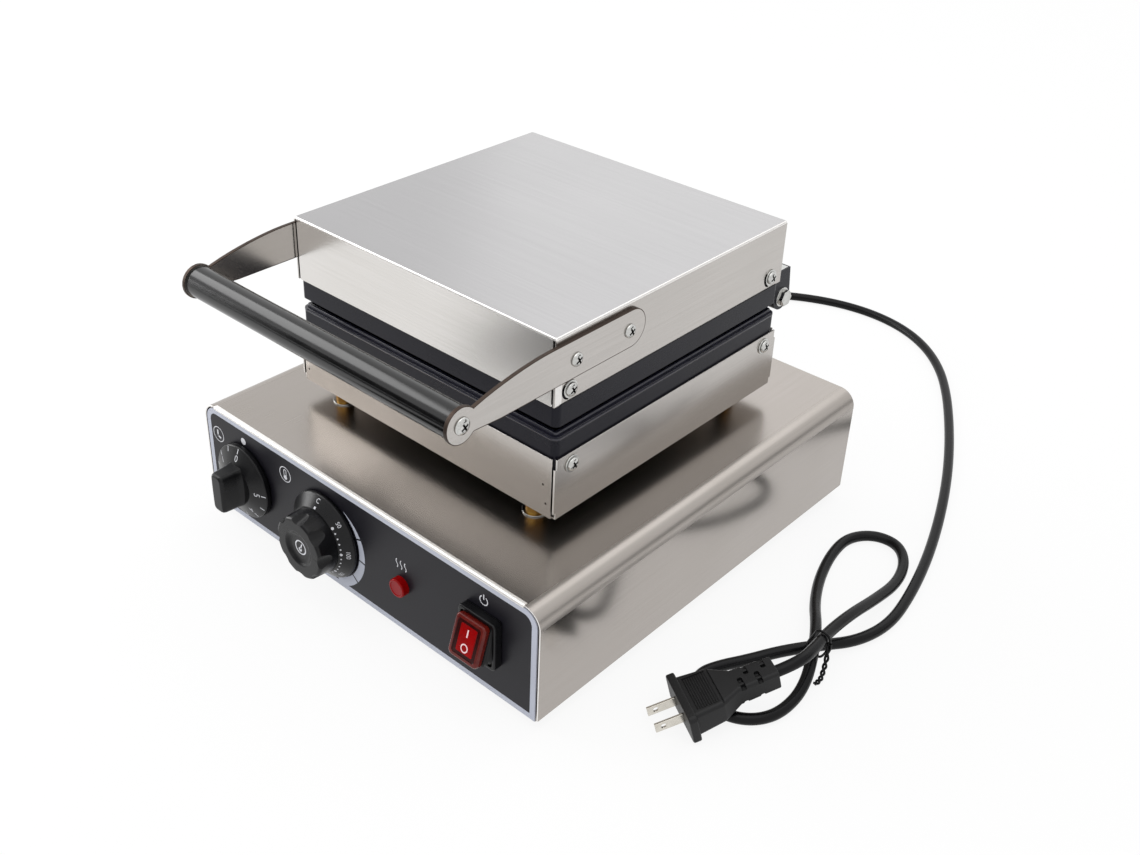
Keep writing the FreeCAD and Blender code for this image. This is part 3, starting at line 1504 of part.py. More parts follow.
def plug():
    body = new_body("plug_body")
    flange = sketch_on(body, "XY_Plane")
    rounded(flange, "plug_flange_width / 2", "plug_flange_height / 2", "plug_corner")
    pad(body, flange, "plug_flange_thickness")
    wide = sketch_on(body, "XY_Plane", "plug_flange_thickness")
    rounded(wide, "plug_body_width / 2", "plug_body_height / 2", "plug_corner")
    narrow = sketch_on(body, "XY_Plane", "plug_flange_thickness + plug_body_length")
    rounded(narrow, "plug_neck_width / 2", "plug_neck_height / 2", "plug_corner")
    loft(body, [wide, narrow])
    neck = sketch_on(body, "XY_Plane", "plug_flange_thickness + plug_body_length")
    rounded(neck, "plug_neck_width / 2", "plug_neck_height / 2", "plug_corner")
    pad(body, neck, "plug_length - plug_flange_thickness - plug_body_length")
    body.Placement = plug_frame()
    blades = []
    for x in SIDES:
        blade = block(f"blade_bar{x}", f"{x}blade_spacing / 2 - blade_thickness / 2",
                      "-blade_width / 2", "-blade_length",
                      "blade_thickness", "blade_width", "blade_length")
        hole = drum(f"blade_hole{x}", "blade_hole_radius", "2 * blade_thickness",
                    f"{x}blade_spacing / 2 - blade_thickness", "0", "-blade_hole_reach", "+X")
        item = cut(f"blade{x}", blade, [hole])
        item.Placement = plug_frame()
        blades.append(item)
    group("plug_blades", blades)


def cord_tie():
    """A wire tie: a closed loop round the crossing of the lead, with its twisted ends as one tail."""
    radius = number("tie_radius")
    corners = [Vector(x, TIE_Y, z) for x, z in TIE_CORNERS]
    middle = (corners[0] + corners[1]) / 2
    wire = route_wire([middle] + corners[1:] + [corners[0], middle], TIE_BEND)[0]
    loop = sweep(wire, radius, middle, corners[1] - corners[0])
    tail = tube_along([Vector(*spot) for spot in TIE_TAIL], radius)[0]
    shape_node("cord_tie", loop.fuse(tail))


def check_and_write():
    """Stops if any feature failed or any sub-part is not a valid shape, then writes the files."""
    doc.recompute()
    for item in doc.Objects:
        if "Invalid" in item.State or "Error" in item.State:
            raise RuntimeError(f"{item.Label} failed: {item.State}")
    for item in nodes:
        if item.Shape.isNull() or not item.Shape.isValid():
            raise RuntimeError(f"{item.Label} has no valid shape")
    os.makedirs("parts", exist_ok=True)
    for item in nodes:
        item.Shape.exportStep(f"parts/{item.Label}.step")
    print(len(nodes), "sub-parts written")


fill_sheet()
base_cover()
end_panel("front_panel", Rotation(), control_holes)
end_panel("back_panel", HALF_TURN, gland_hole)
control_fascia()
bottom_plate()
feet()
controls()
heat_lamp()
rocker_switch()
terminal_block()
posts()
lower_housing()
lower_plate()
upper_plate()
heaters()
lid_cover()
handle_arms()
handle_grip()
side_fasteners()
hinge_fasteners()
strain_relief()
wiring()
thermostat_probe()
mains_lead()
plug()
cord_tie()
check_and_write()
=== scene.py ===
"""Looks of a table-top waffle maker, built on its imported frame. Lengths in the classes are in millimetres."""

import logging
from dataclasses import dataclass, replace
from enum import Enum
from math import atan2, cos, degrees, hypot, pi, radians, sin, tan
from typing import Callable, Iterable, Sequence

import bmesh
import bpy
from mathutils import Matrix, Vector


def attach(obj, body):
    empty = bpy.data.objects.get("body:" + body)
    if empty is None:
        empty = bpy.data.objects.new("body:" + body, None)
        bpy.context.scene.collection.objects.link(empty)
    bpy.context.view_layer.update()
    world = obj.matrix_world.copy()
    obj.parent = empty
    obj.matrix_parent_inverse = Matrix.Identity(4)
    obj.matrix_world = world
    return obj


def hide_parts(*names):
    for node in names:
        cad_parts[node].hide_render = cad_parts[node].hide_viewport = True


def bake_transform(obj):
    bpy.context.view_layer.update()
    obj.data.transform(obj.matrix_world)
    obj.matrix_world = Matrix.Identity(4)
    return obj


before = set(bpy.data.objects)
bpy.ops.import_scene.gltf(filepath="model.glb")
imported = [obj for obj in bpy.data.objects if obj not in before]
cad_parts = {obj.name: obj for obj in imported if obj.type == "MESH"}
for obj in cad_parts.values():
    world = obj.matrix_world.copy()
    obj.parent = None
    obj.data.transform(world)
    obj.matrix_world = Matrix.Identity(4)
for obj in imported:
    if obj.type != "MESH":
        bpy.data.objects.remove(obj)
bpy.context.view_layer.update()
LOG = logging.getLogger("waffle_maker")
MM = 0.001
SIDES = (-1, 1)
WHITE = (1.0, 1.0, 1.0, 1.0)
# The sum of two noises, as far as it changes a roughness and a tint
ROUGH_SPAN = (0.6, 1.4)
TINT_SPAN = (0.7, 1.3)
# Points of a turned or a CAD piece that are nearer than this are one
LATHE_WELD = 0.0005
CAD_WELD = 0.002
# Angles between faces, in degrees, above which an edge is rounded and above which it is shaded as sharp
EDGE_ANGLE = 40.0
SHARP_ANGLE = 50.0
# Points of a flat dot, degrees from point to point of a flat arc, and the arc's fewest steps
DOT_POINTS = 24
ARC_STEP = 6
ARC_LEAST = 4
# How far a cutting tool goes past each face
PAST = 1.0
# Every noise's detail, and the places of the colours among a Mix node's sockets
NOISE_DETAIL = 2.0
MIX_FIRST, MIX_SECOND, MIX_RESULT = 6, 7, 2

# A corner of an outline: two lengths, then how far before the corner its rounding starts and in how many steps
Corner = tuple[float, ...]
Pair = tuple[float, float]
Triple = tuple[float, float, float]
Colour = tuple[float, float, float, float]


class Body(Enum):
    """The bodies that a piece may move with."""

    BASE = "base"
    LID = "lid"
    TIMER = "timer_dial"
    TEMPERATURE = "temperature_dial"
    ROCKER = "rocker"


class Slot(Enum):
    """The record's material slots."""

    SHEET = "stainless_sheet"
    PLATED = "plated_steel"
    CASTING = "coated_casting"
    ENAMEL = "black_enamel"
    PLASTIC = "black_plastic"
    FILM = "printed_film"
    LENS = "red_lens"
    RUBBER = "black_rubber"


class Grain(Enum):
    """The way the polishing lines run, as how much each axis is drawn out."""

    ACROSS = (0.012, 1.0, 1.0)
    DEPTH = (1.0, 0.012, 1.0)
    EVEN = (1.0, 1.0, 1.0)


class Washer(Enum):
    """What lies under a screw's head."""

    NONE = 0
    PLAIN = 1


class Facing(Enum):
    """Where a piece's local Z looks, given by its local X and Y."""

    FRONT = ((1, 0, 0), (0, 0, 1))
    BACK = ((-1, 0, 0), (0, 0, 1))
    LEFT = ((0, -1, 0), (0, 0, 1))
    RIGHT = ((0, 1, 0), (0, 0, 1))

    def at(self, x: float, y: float, z: float) -> Matrix:
        """Gives the placement that looks this way from a point.

        Args:
            x: the point's place across the object.
            y: its depth.
            z: its height.

        Returns:
            The placement.
        """
        across, along = (Vector(axis) for axis in self.value)
        turn = Matrix((across, along, across.cross(along))).transposed()
        return move(x, y, z) @ turn.to_4x4()


def move(x: float = 0.0, y: float = 0.0, z: float = 0.0) -> Matrix:
    """Gives a plain move along the three axes."""
    return Matrix.Translation((x, y, z))


def spin(turn: float) -> Matrix:
    """Gives a turn about Z, by an angle in radians."""
    return Matrix.Rotation(turn, 4, "Z")


def link(name: str, data: bpy.types.ID) -> bpy.types.Object:
    """Puts a mesh, curve, lamp or camera in the scene.

    Args:
        name: the object's name.
        data: what it shows.

    Returns:
        The new object.
    """
    item = bpy.data.objects.new(name, data)
    bpy.context.scene.collection.objects.link(item)
    return item


# Finishes

def linear(tint: str) -> Colour:
    """Turns an sRGB hex value to linear light.

    Args:
        tint: six hex digits after a #.

    Returns:
        Red, green and blue, and an alpha of 1.
    """
    parts = [int(tint[start:start + 2], 16) / 255 for start in (1, 3, 5)]
    return (*[part / 12.92 if part < 0.04045 else ((part + 0.055) / 1.055) ** 2.4 for part in parts], 1.0)


def add_node(tree: bpy.types.NodeTree, kind: str, inputs: dict, **settings: object) -> bpy.types.Node:
    """Adds a node with its settings, values and links.

    Args:
        tree: the material's nodes.
        kind: the node's type.
        inputs: for each input's name or place, a value or the output that feeds it.
        settings: the node's own properties.

    Returns:
        The new node.
    """
    node = tree.nodes.new(kind)
    for name, value in settings.items():
        setattr(node, name, value)
    for socket, value in inputs.items():
        if isinstance(value, bpy.types.NodeSocket):
            tree.links.new(value, node.inputs[socket])
        else:
            node.inputs[socket].default_value = value
    return node


@dataclass(frozen=True)
class Finish:
    """A surface: its shader's plain values, its fine grain and its slow changes over the piece."""

    name: str
    tint: str
    second_tint: str
    roughness: float
    metallic: float = 0.0
    specular: float = 0.5
    grain: float = 0.6
    relief: float = 0.01
    run: Grain = Grain.EVEN
    cloud: float = 30.0
    uneven: float = 0.04

    def material(self) -> bpy.types.Material:
        """Gives the material, made at its first use.

        Returns:
            The material.
        """
        made = bpy.data.materials.get(self.name)
        if made is None:
            made = bpy.data.materials.new(self.name)
            made.use_nodes = True
            self.lay(made.node_tree, made.node_tree.nodes["Principled BSDF"])
        return made

    def lay(self, tree: bpy.types.NodeTree, shader: bpy.types.Node) -> None:
        """Sets the shader and feeds its tint, roughness and relief from two noises.

        Args:
            tree: the material's nodes.
            shader: its principled shader.
        """
        shader.inputs["Metallic"].default_value = self.metallic
        if not self.metallic:
            shader.inputs["Specular IOR Level"].default_value = self.specular
        place = add_node(tree, "ShaderNodeTexCoord", {}).outputs["Object"]
        drawn = add_node(tree, "ShaderNodeMapping", {"Vector": place, "Scale": self.run.value}).outputs[0]
        fine, slow = (
            add_node(tree, "ShaderNodeTexNoise", {
                "Vector": spot, "Scale": 1 / (size * MM), "Detail": NOISE_DETAIL}).outputs["Fac"]
            for spot, size in ((drawn, self.grain), (place, self.cloud)))
        mixed = add_node(tree, "ShaderNodeMath", {0: fine, 1: slow}, operation="ADD").outputs[0]
        rough = add_node(tree, "ShaderNodeMapRange", {
            "Value": mixed, "From Min": ROUGH_SPAN[0], "From Max": ROUGH_SPAN[1],
            "To Min": self.roughness - self.uneven, "To Max": self.roughness + self.uneven}).outputs[0]
        share = add_node(tree, "ShaderNodeMapRange", {
            "Value": mixed, "From Min": TINT_SPAN[0], "From Max": TINT_SPAN[1]}).outputs[0]
        tint = add_node(tree, "ShaderNodeMix", {
            "Factor": share, MIX_FIRST: linear(self.tint), MIX_SECOND: linear(self.second_tint)},
            data_type="RGBA").outputs[MIX_RESULT]
        bump = add_node(tree, "ShaderNodeBump", {"Height": fine, "Distance": self.relief * MM}).outputs[0]
        tree.links.new(rough, shader.inputs["Roughness"])
        tree.links.new(tint, shader.inputs["Base Color"])
        tree.links.new(bump, shader.inputs["Normal"])


# Cold-rolled stainless sheet, polished one way: blurred reflections, warm grey, faint long lines.
# The lines are 0.1 mm on the real sheet and drawn at 1.2 mm so that they show.
STEEL_ACROSS = Finish("brushed_stainless_steel_across", "#c6c2be", "#c0bcb7", 0.22, 1.0, grain=1.2, relief=0.0003,
                      run=Grain.ACROSS, cloud=90.0, uneven=0.02)
# A darker, cooler copy of the same steel on the lid's flat top: painted shade
STEEL_TOP = replace(STEEL_ACROSS, name="brushed_stainless_steel_top_painted_shade", tint="#b9b8b9", second_tint="#b5b4b5",
                    roughness=0.25, relief=0.0002, cloud=110.0)
# A paler copy of the same steel on the lid's front and back sheets: painted light
STEEL_LID = replace(STEEL_ACROSS, name="brushed_stainless_steel_lid_painted_light", tint="#e4e1de", second_tint="#dedbd7",
                    roughness=0.24)
STEEL_DEPTH = replace(STEEL_ACROSS, name="brushed_stainless_steel_depth", tint="#c1bdb9", second_tint="#bab6b2",
                      run=Grain.DEPTH)
# The base's thicker sheet takes a greyer, browner tint: partly its own finish, partly painted shade for the darker
# surroundings that its top and sides reflect.
# Its upright sides keep the mill's smoother skin, with clearer reflections; its bends are stretched and duller.
STEEL_BASE = replace(STEEL_DEPTH, name="brushed_stainless_steel_base", tint="#ada7a2", second_tint="#a9a39d",
                     roughness=0.25, relief=0.0004, cloud=70.0, uneven=0.025)
STEEL_FLANK = replace(STEEL_BASE, name="brushed_stainless_steel_flank", roughness=0.17, relief=0.0003, uneven=0.02)
STEEL_BEND = replace(STEEL_BASE, name="brushed_stainless_steel_bend", roughness=0.34, uneven=0.02)
# Paler copies of the steel on round and cut edges, the lid's corner tabs and the base's rolled hem: painted highlight
EDGE_HIGHLIGHT = Finish("steel_edge_painted_highlight", "#f6f4f2", "#eeebe8", 0.4, 1.0, grain=1.2, relief=0.0004, cloud=40.0)
HEM_HIGHLIGHT = replace(EDGE_HIGHLIGHT, name="rolled_hem_painted_highlight", tint="#f7f5f2", second_tint="#f0eeeb", roughness=0.45)
# Edges that the cutter left brown and dull; the same finish frames each arm's flat faces as painted shade along its
# outline
CUT_EDGE_AND_SHADE = Finish("heat_tinted_cut_edge_and_painted_shade", "#51463f", "#443a35", 0.45, 1.0, grain=0.5, relief=0.006, cloud=12.0)
# Zinc-plated steel screws: bright, a little cool, small tool marks; a dark copy in their cross recesses is painted
# shade
ZINC = Finish("zinc_plated_steel", "#cfcfcd", "#b9b9b6", 0.13, 1.0, grain=0.9, relief=0.008, cloud=4.0, uneven=0.05)
ZINC_RECESS_SHADE = Finish("zinc_recess_painted_shade", "#3b3937", "#2b2927", 0.5, 1.0, grain=0.4, relief=0.006, cloud=3.0)
# Cast aluminium under a baked non-stick coat: charcoal with a blue cast, satin, fine orange peel
COATING = Finish("nonstick_coated_aluminium", "#0f0f19", "#14141e", 0.3, specular=0.18, grain=1.1, relief=0.006,
                 cloud=25.0, uneven=0.05)
# The same coat on the rounded rims, glossier and with a paler tint that is painted highlight, so that the edges show
# as lines
RIM_COAT_HIGHLIGHT = Finish("nonstick_rim_painted_highlight", "#1b1b28", "#20202d", 0.22, specular=0.6, grain=1.1, relief=0.003,
                    cloud=25.0, uneven=0.03)
# Machined face of the casting: bare aluminium with fine cutter lines
BARE_ALUMINIUM = Finish("machined_aluminium", "#c9cac8", "#b7b8b5", 0.35, 1.0, grain=0.7, relief=0.008,
                        run=Grain.ACROSS)
# Baked black enamel on the handle tube: deep gloss with a slight ripple
ENAMEL = Finish("baked_black_enamel", "#050506", "#09090a", 0.17, specular=0.6, grain=9.0, relief=0.002,
                cloud=40.0, uneven=0.03)
# Moulded ABS: near black, satin, with the fine even grain of a spark-eroded mould, drawn at 0.4 mm
ABS = Finish("moulded_black_abs", "#0c0c0e", "#111113", 0.3, specular=0.26, grain=0.4, relief=0.004, cloud=20.0,
             uneven=0.05)
# Printed polycarbonate film: charcoal ink under a satin surface, a pale blue-grey border, white and grey marks
FILM_FIELD = Finish("polycarbonate_film_charcoal", "#15141a", "#1a191f", 0.38, specular=0.2, grain=0.5, relief=0.003,
                    cloud=60.0)
FILM_BORDER = replace(FILM_FIELD, name="polycarbonate_film_pale", tint="#b1b5c2", second_tint="#b7bbc8",
                      roughness=0.4, specular=0.3)
WHITE_INK = Finish("white_screen_ink", "#d6d7db", "#c9cad0", 0.5, specular=0.3, grain=0.3, relief=0.003, cloud=5.0)
GREY_INK = replace(WHITE_INK, name="grey_screen_ink", tint="#b3b7c4", second_tint="#bcc0cc", cloud=9.0)
PINK_INK = replace(WHITE_INK, name="pink_white_ink", tint="#f0cfd1", second_tint="#e5c2c5", roughness=0.4, cloud=4.0)
# Red polycarbonate: frosted on the lamp's face, glossy on its wall and on the rocker, smoked on the rocker's rim
FROSTED_RED = Finish("frosted_red_polycarbonate", "#8f1218", "#80171c", 0.5, specular=0.25, grain=0.4, relief=0.008,
                     cloud=6.0)
CLEAR_RED = Finish("clear_red_polycarbonate", "#930103", "#800102", 0.16, specular=0.1, grain=2.0, relief=0.002,
                   cloud=6.0)
RIM_RED = replace(CLEAR_RED, name="smoked_red_polycarbonate", tint="#4e0d0a", second_tint="#64170f", roughness=0.2,
                  specular=0.3, cloud=8.0)
# A near-black copy on the walls and floor of the rocker's sunk window: painted shade
DEEP_RED = replace(CLEAR_RED, name="red_polycarbonate_painted_shade", tint="#260403", second_tint="#330706", specular=0.15)
# Plasticised PVC: black with a soft grey sheen; the plug is the same compound from a grained mould
PVC = Finish("black_pvc_sheath", "#08080a", "#0c0c0e", 0.3, specular=0.18, grain=1.4, relief=0.006, cloud=18.0,
             uneven=0.05)
PVC_PLUG = Finish("grained_black_pvc", "#141415", "#1a1a1b", 0.45, specular=0.26, grain=0.5, relief=0.015, cloud=12.0,
                  uneven=0.05)
# Pressed rubber: dull, nearly black, dusty
RUBBER = Finish("black_epdm_rubber", "#0f0f10", "#161616", 0.5, specular=0.3, grain=0.7, relief=0.015, cloud=9.0,
                uneven=0.08)
# Black paper of the studio's cards: matt, with no sheen
BLACK_CARD = Finish("black_card", "#0f0f10", "#161616", 0.7, specular=0.2, grain=2.0, cloud=60.0)
# Nickel-plated brass blades: bright, a little warm, with faint drawn lines
NICKEL = Finish("nickel_plated_brass", "#dcd8cf", "#cbc6bc", 0.2, 1.0, relief=0.003, run=Grain.DEPTH, cloud=8.0)
# Turned brass posts: deep yellow and glossy, with fine tool marks
BRASS = Finish("turned_brass", "#b08a45", "#8d6634", 0.2, 1.0, grain=0.5, relief=0.008, cloud=8.0)
# Drawn copper tube: red-brown, half dull
COPPER = Finish("drawn_copper_tube", "#b87355", "#9c5c42", 0.32, 1.0, relief=0.008, cloud=9.0)
# Heating element: nickel-alloy sheath that heat has turned a dull grey-brown, as it has the spot welds
SHEATH = Finish("heat_darkened_alloy_sheath", "#5d5652", "#463f3d", 0.5, 1.0, grain=0.8, relief=0.015, cloud=14.0,
                uneven=0.08)
# Phenolic mouldings inside the base: dark brown, matt
PHENOLIC = Finish("brown_phenolic_moulding", "#3a2a22", "#2e211b", 0.5, relief=0.02, cloud=7.0)
# Silicone-coated wire: pale and soft
WIRE = Finish("silicone_coated_wire", "#c9c4ba", "#bcb6aa", 0.5, grain=0.8, relief=0.015, cloud=10.0)


# Shapes

def ends(edges: Iterable[bmesh.types.BMEdge]) -> list[bmesh.types.BMVert]:
    """Gives the points of some edges, each once."""
    return list(dict.fromkeys(vert for edge in edges for vert in edge.verts))


class Shape:
    """A mesh in the making, in millimetres."""

    def __init__(self) -> None:
        """Starts empty."""
        self.bm = bmesh.new()

    def outline(self, corners: Sequence[Corner], closed: bool = True) -> list[bmesh.types.BMEdge]:
        """Draws a line in the local XY plane and rounds its corners.

        Args:
            corners: the line's corners.
            closed: whether the last corner joins the first.

        Returns:
            The line's edges.
        """
        known = set(self.bm.edges)
        verts = [self.bm.verts.new((corner[0], corner[1], 0)) for corner in corners]
        for start, end in zip(verts, verts[1:] + verts[:1] if closed else verts[1:]):
            self.bm.edges.new((start, end))
        for style in sorted({corner[2:] for corner in corners if len(corner) > 2}):
            turning = [vert for vert, corner in zip(verts, corners) if corner[2:] == style]
            bmesh.ops.bevel(self.bm, geom=turning, offset=style[0], offset_type="OFFSET",
                            segments=int(style[1]), profile=0.5, affect="VERTICES", material=-1)
        return [edge for edge in self.bm.edges if edge not in known]

    def lift(self, drawn: Iterable[object], height: float) -> None:
        """Moves what an extrusion has drawn along local Z.

        Args:
            drawn: the new points, edges and faces.
            height: how far they go.
        """
        verts = [item for item in drawn if isinstance(item, bmesh.types.BMVert)]
        bmesh.ops.translate(self.bm, vec=(0, 0, height), verts=verts)

    def revolve(self, geom: list, turn: float, steps: int) -> None:
        """Turns points and edges round local Z; a whole turn closes on itself.

        Args:
            geom: the points and edges.
            turn: the angle, in degrees.
            steps: in how many steps.
        """
        bmesh.ops.spin(self.bm, geom=geom, cent=(0, 0, 0), axis=(0, 0, 1), dvec=(0, 0, 0),
                       angle=radians(turn), steps=steps, use_merge=abs(turn) >= 360)

    def prism(self, corners: Sequence[Corner], height: float) -> "Shape":
        """Raises a filled outline.

        Args:
            corners: the outline's corners.
            height: how far it rises along local Z.

        Returns:
            This shape.
        """
        base = bmesh.ops.contextual_create(self.bm, geom=self.outline(corners))["faces"]
        self.lift(bmesh.ops.extrude_face_region(self.bm, geom=base)["geom"], height)
        return self.outward()

    def sheet(self, corners: Sequence[Corner], length: float, wall: float) -> "Shape":
        """Folds a sheet along an open line.

        Args:
            corners: the line's corners.
            length: how far the sheet runs along local Z.
            wall: the sheet's thickness.

        Returns:
            This shape.
        """
        edges = self.outline(corners, closed=False)
        self.lift(bmesh.ops.extrude_edge_only(self.bm, edges=edges)["geom"], length)
        self.outward()
        bmesh.ops.solidify(self.bm, geom=list(self.bm.faces), thickness=wall)
        return self

    def lathe(self, corners: Sequence[Corner], steps: int = 64) -> "Shape":
        """Turns a line once round local Z.

        Args:
            corners: the line's corners, as radii and heights.
            steps: in how many steps.

        Returns:
            This shape.
        """
        edges = self.outline(corners, closed=False)
        verts = ends(edges)
        for vert in verts:
            vert.co = (vert.co.x, 0, vert.co.y)
        self.revolve(verts + edges, 360, steps)
        bmesh.ops.remove_doubles(self.bm, verts=self.bm.verts, dist=LATHE_WELD)
        return self.outward()

    def band(self, inner: float, outer: float, start: float = 0.0, turn: float = 360.0) -> "Shape":
        """Makes a flat ring or a part of one.

        Args:
            inner: the inner radius.
            outer: the outer radius.
            start: the angle it starts at, in degrees from the right.
            turn: how far it goes round.

        Returns:
            This shape.
        """
        reach = Vector((cos(radians(start)), sin(radians(start)), 0))
        verts = [self.bm.verts.new(reach * radius) for radius in (inner, outer)]
        edge = self.bm.edges.new(verts)
        self.revolve(verts + [edge], turn, max(ARC_LEAST, int(abs(turn) / ARC_STEP)))
        return self.upward()

    def disc(self, radius: float) -> "Shape":
        """Makes a flat round dot."""
        bmesh.ops.create_circle(self.bm, cap_ends=True, segments=DOT_POINTS, radius=radius)
        return self.upward()

    def stroke(self, start: Pair, end: Pair, width: float) -> "Shape":
        """Makes a flat straight stroke.

        Args:
            start: the point it starts at.
            end: the point it goes to.
            width: its width.

        Returns:
            This shape.
        """
        reach = Vector(end) - Vector(start)
        middle = (Vector(end) + Vector(start)) / 2
        bmesh.ops.create_grid(self.bm, x_segments=1, y_segments=1, size=0.5)
        bmesh.ops.scale(self.bm, vec=(reach.length, width, 1), verts=self.bm.verts)
        at = move(*middle) @ spin(atan2(reach.y, reach.x))
        bmesh.ops.transform(self.bm, matrix=at, verts=self.bm.verts)
        return self.upward()

    def figures(self, text: str, size: float) -> "Shape":
        """Makes flat figures, centred.

        Args:
            text: the figures.
            size: their size.

        Returns:
            This shape.
        """
        curve = bpy.data.curves.new("figures", "FONT")
        curve.body = text
        curve.size = size
        curve.align_x = curve.align_y = "CENTER"
        mesh = bpy.data.meshes.new_from_object(bpy.data.objects.new("figures", curve))
        self.bm.from_mesh(mesh)
        bpy.data.meshes.remove(mesh)
        bpy.data.curves.remove(curve)
        return self.upward()

    def block(self, low: Triple, high: Triple) -> "Shape":
        """Makes a box between two corners.

        Args:
            low: one corner.
            high: the corner across from it.

        Returns:
            This shape.
        """
        size = Vector(high) - Vector(low)
        made = bmesh.ops.create_cube(self.bm, size=1)["verts"]
        bmesh.ops.scale(self.bm, vec=[abs(value) for value in size], verts=made)
        bmesh.ops.translate(self.bm, vec=Vector(low) + size / 2, verts=made)
        return self

    def loft(self, sections: Sequence[tuple[Sequence[Corner], Matrix]], finishes: Sequence[int] = ()) -> "Shape":
        """Joins outlines by walls and closes the two ends.

        Args:
            sections: each outline with its own placement.
            finishes: which of the piece's finishes each wall takes; the ends take the nearest wall's.

        Returns:
            This shape.
        """
        loops = []
        for corners, at in sections:
            edges = self.outline(corners)
            bmesh.ops.transform(self.bm, matrix=at, verts=ends(edges))
            loops.append(edges)
        walls = finishes or [0] * (len(loops) - 1)
        made = [bmesh.ops.bridge_loops(self.bm, edges=near + far)["faces"] for near, far in zip(loops, loops[1:])]
        for end in (0, -1):
            made.append(bmesh.ops.contextual_create(self.bm, geom=loops[end])["faces"])
        for faces, finish in zip(made, [*walls, walls[0], walls[-1]]):
            for face in faces:
                face.material_index = finish
        return self.outward()

    def outward(self) -> "Shape":
        """Turns every face outwards."""
        bmesh.ops.recalc_face_normals(self.bm, faces=self.bm.faces)
        return self

    def upward(self) -> "Shape":
        """Turns flat faces to local Z.

        Returns:
            This shape.
        """
        self.bm.normal_update()
        bmesh.ops.reverse_faces(self.bm, faces=[face for face in self.bm.faces if face.normal.z < 0])
        return self

    def soften(self, width: float, steps: int = 2, angle: float = EDGE_ANGLE) -> "Shape":
        """Rounds sharp edges.

        Args:
            width: how far from the edge the rounding starts.
            steps: in how many steps.
            angle: the angle between faces, in degrees, above which an edge is sharp.

        Returns:
            This shape.
        """
        edges = [edge for edge in self.bm.edges
                 if len(edge.link_faces) == 2 and edge.calc_face_angle(0) > radians(angle)]
        bmesh.ops.bevel(self.bm, geom=edges, offset=width, offset_type="OFFSET", segments=steps,
                        profile=0.5, affect="EDGES", material=-1, clamp_overlap=True)
        return self

    def paint(self, index: int, wanted: Callable[[bmesh.types.BMFace], bool] | None = None) -> "Shape":
        """Gives faces another of the piece's finishes.

        Args:
            index: the finish.
            wanted: the test that a face has to pass, or None for every face.

        Returns:
            This shape.
        """
        self.bm.normal_update()
        for face in self.bm.faces:
            if wanted is None or wanted(face):
                face.material_index = index
        return self

    def inset(self, index: int, width: float) -> "Shape":
        """Draws the faces of a finish inwards; the frame left round them takes the first finish.

        Args:
            index: the finish.
            width: the frame's width.

        Returns:
            This shape.
        """
        inner = [face for face in self.bm.faces if face.material_index == index]
        made = bmesh.ops.inset_region(self.bm, faces=inner, thickness=width, use_even_offset=True)
        for face in made["faces"]:
            face.material_index = 0
        return self

    def add(self, other: "Shape", at: Matrix = Matrix(), finish: int | None = None) -> "Shape":
        """Joins a copy of another shape to this one.

        Args:
            other: the shape to copy.
            at: its placement.
            finish: which of the piece's finishes it takes, or None to keep its own.

        Returns:
            This shape.
        """
        mesh = bpy.data.meshes.new("joined")
        other.bm.to_mesh(mesh)
        mesh.transform(at)
        if finish is not None:
            for polygon in mesh.polygons:
                polygon.material_index = finish
        self.bm.from_mesh(mesh)
        bpy.data.meshes.remove(mesh)
        return self

    def placed(self, at: Matrix) -> "Shape":
        """Gives a copy at a placement."""
        return Shape().add(self, at)

    def carve(self, tool: "Shape") -> "Shape":
        """Cuts another shape out of this one.

        Args:
            tool: the shape that is cut out.

        Returns:
            This shape.
        """
        items = []
        for shape in (self, tool):
            mesh = bpy.data.meshes.new("carving")
            shape.bm.to_mesh(mesh)
            items.append(link("carving", mesh))
        cut = items[0].modifiers.new("cut", "BOOLEAN")
        cut.object = items[1]
        cut.use_self = True
        graph = bpy.context.evaluated_depsgraph_get()
        carved = bpy.data.meshes.new_from_object(items[0].evaluated_get(graph))
        self.bm.clear()
        self.bm.from_mesh(carved)
        for mesh in (items[0].data, items[1].data, carved):
            bpy.data.meshes.remove(mesh)
        return self

    def hollow(self, corners: Sequence[Corner], height: float) -> "Shape":
        """Cuts a filled outline right through this shape.

        Args:
            corners: the outline's corners.
            height: how far this shape goes along local Z, from 0.

        Returns:
            This shape.
        """
        return self.carve(Shape().prism(corners, height + 2 * PAST).placed(move(z=-PAST)))

    def show(self, name: str, finishes: Sequence[Finish], body: Body | None, slot: Slot,
             replaces: Sequence[str] = ()) -> bpy.types.Object:
        """Puts the finished piece in the scene.

        Args:
            name: the piece's name.
            finishes: its finishes, in the order of its faces' indices.
            body: the body it moves with, or None to leave it unattached.
            slot: not used.
            replaces: the CAD nodes it stands for.

        Returns:
            The new object.
        """
        bmesh.ops.scale(self.bm, vec=(MM, MM, MM), verts=self.bm.verts)
        mesh = bpy.data.meshes.new(name)
        self.bm.to_mesh(mesh)
        self.bm.free()
        for finish in finishes:
            mesh.materials.append(finish.material())
        mesh.shade_smooth()
        mesh.set_sharp_from_angle(angle=radians(SHARP_ANGLE))
        item = link(name, mesh)
        item.modifiers.new("even_normals", "WEIGHTED_NORMAL").keep_sharp = True
        return settle(item, body, replaces)


def settle(item: bpy.types.Object, body: Body | None, replaces: Sequence[str] = ()) -> bpy.types.Object:
    """Makes a piece ride on its body and what it stands for, and reports it.

    Args:
        item: the piece.
        body: the body it moves with, or None.
        replaces: the CAD nodes it stands for.

    Returns:
        The same piece.
    """
    if body:
        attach(item, body.value)
    if replaces:
        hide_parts(*replaces)
    LOG.info("%s made, for %s", item.name, ", ".join(replaces) or "no node")
    return item


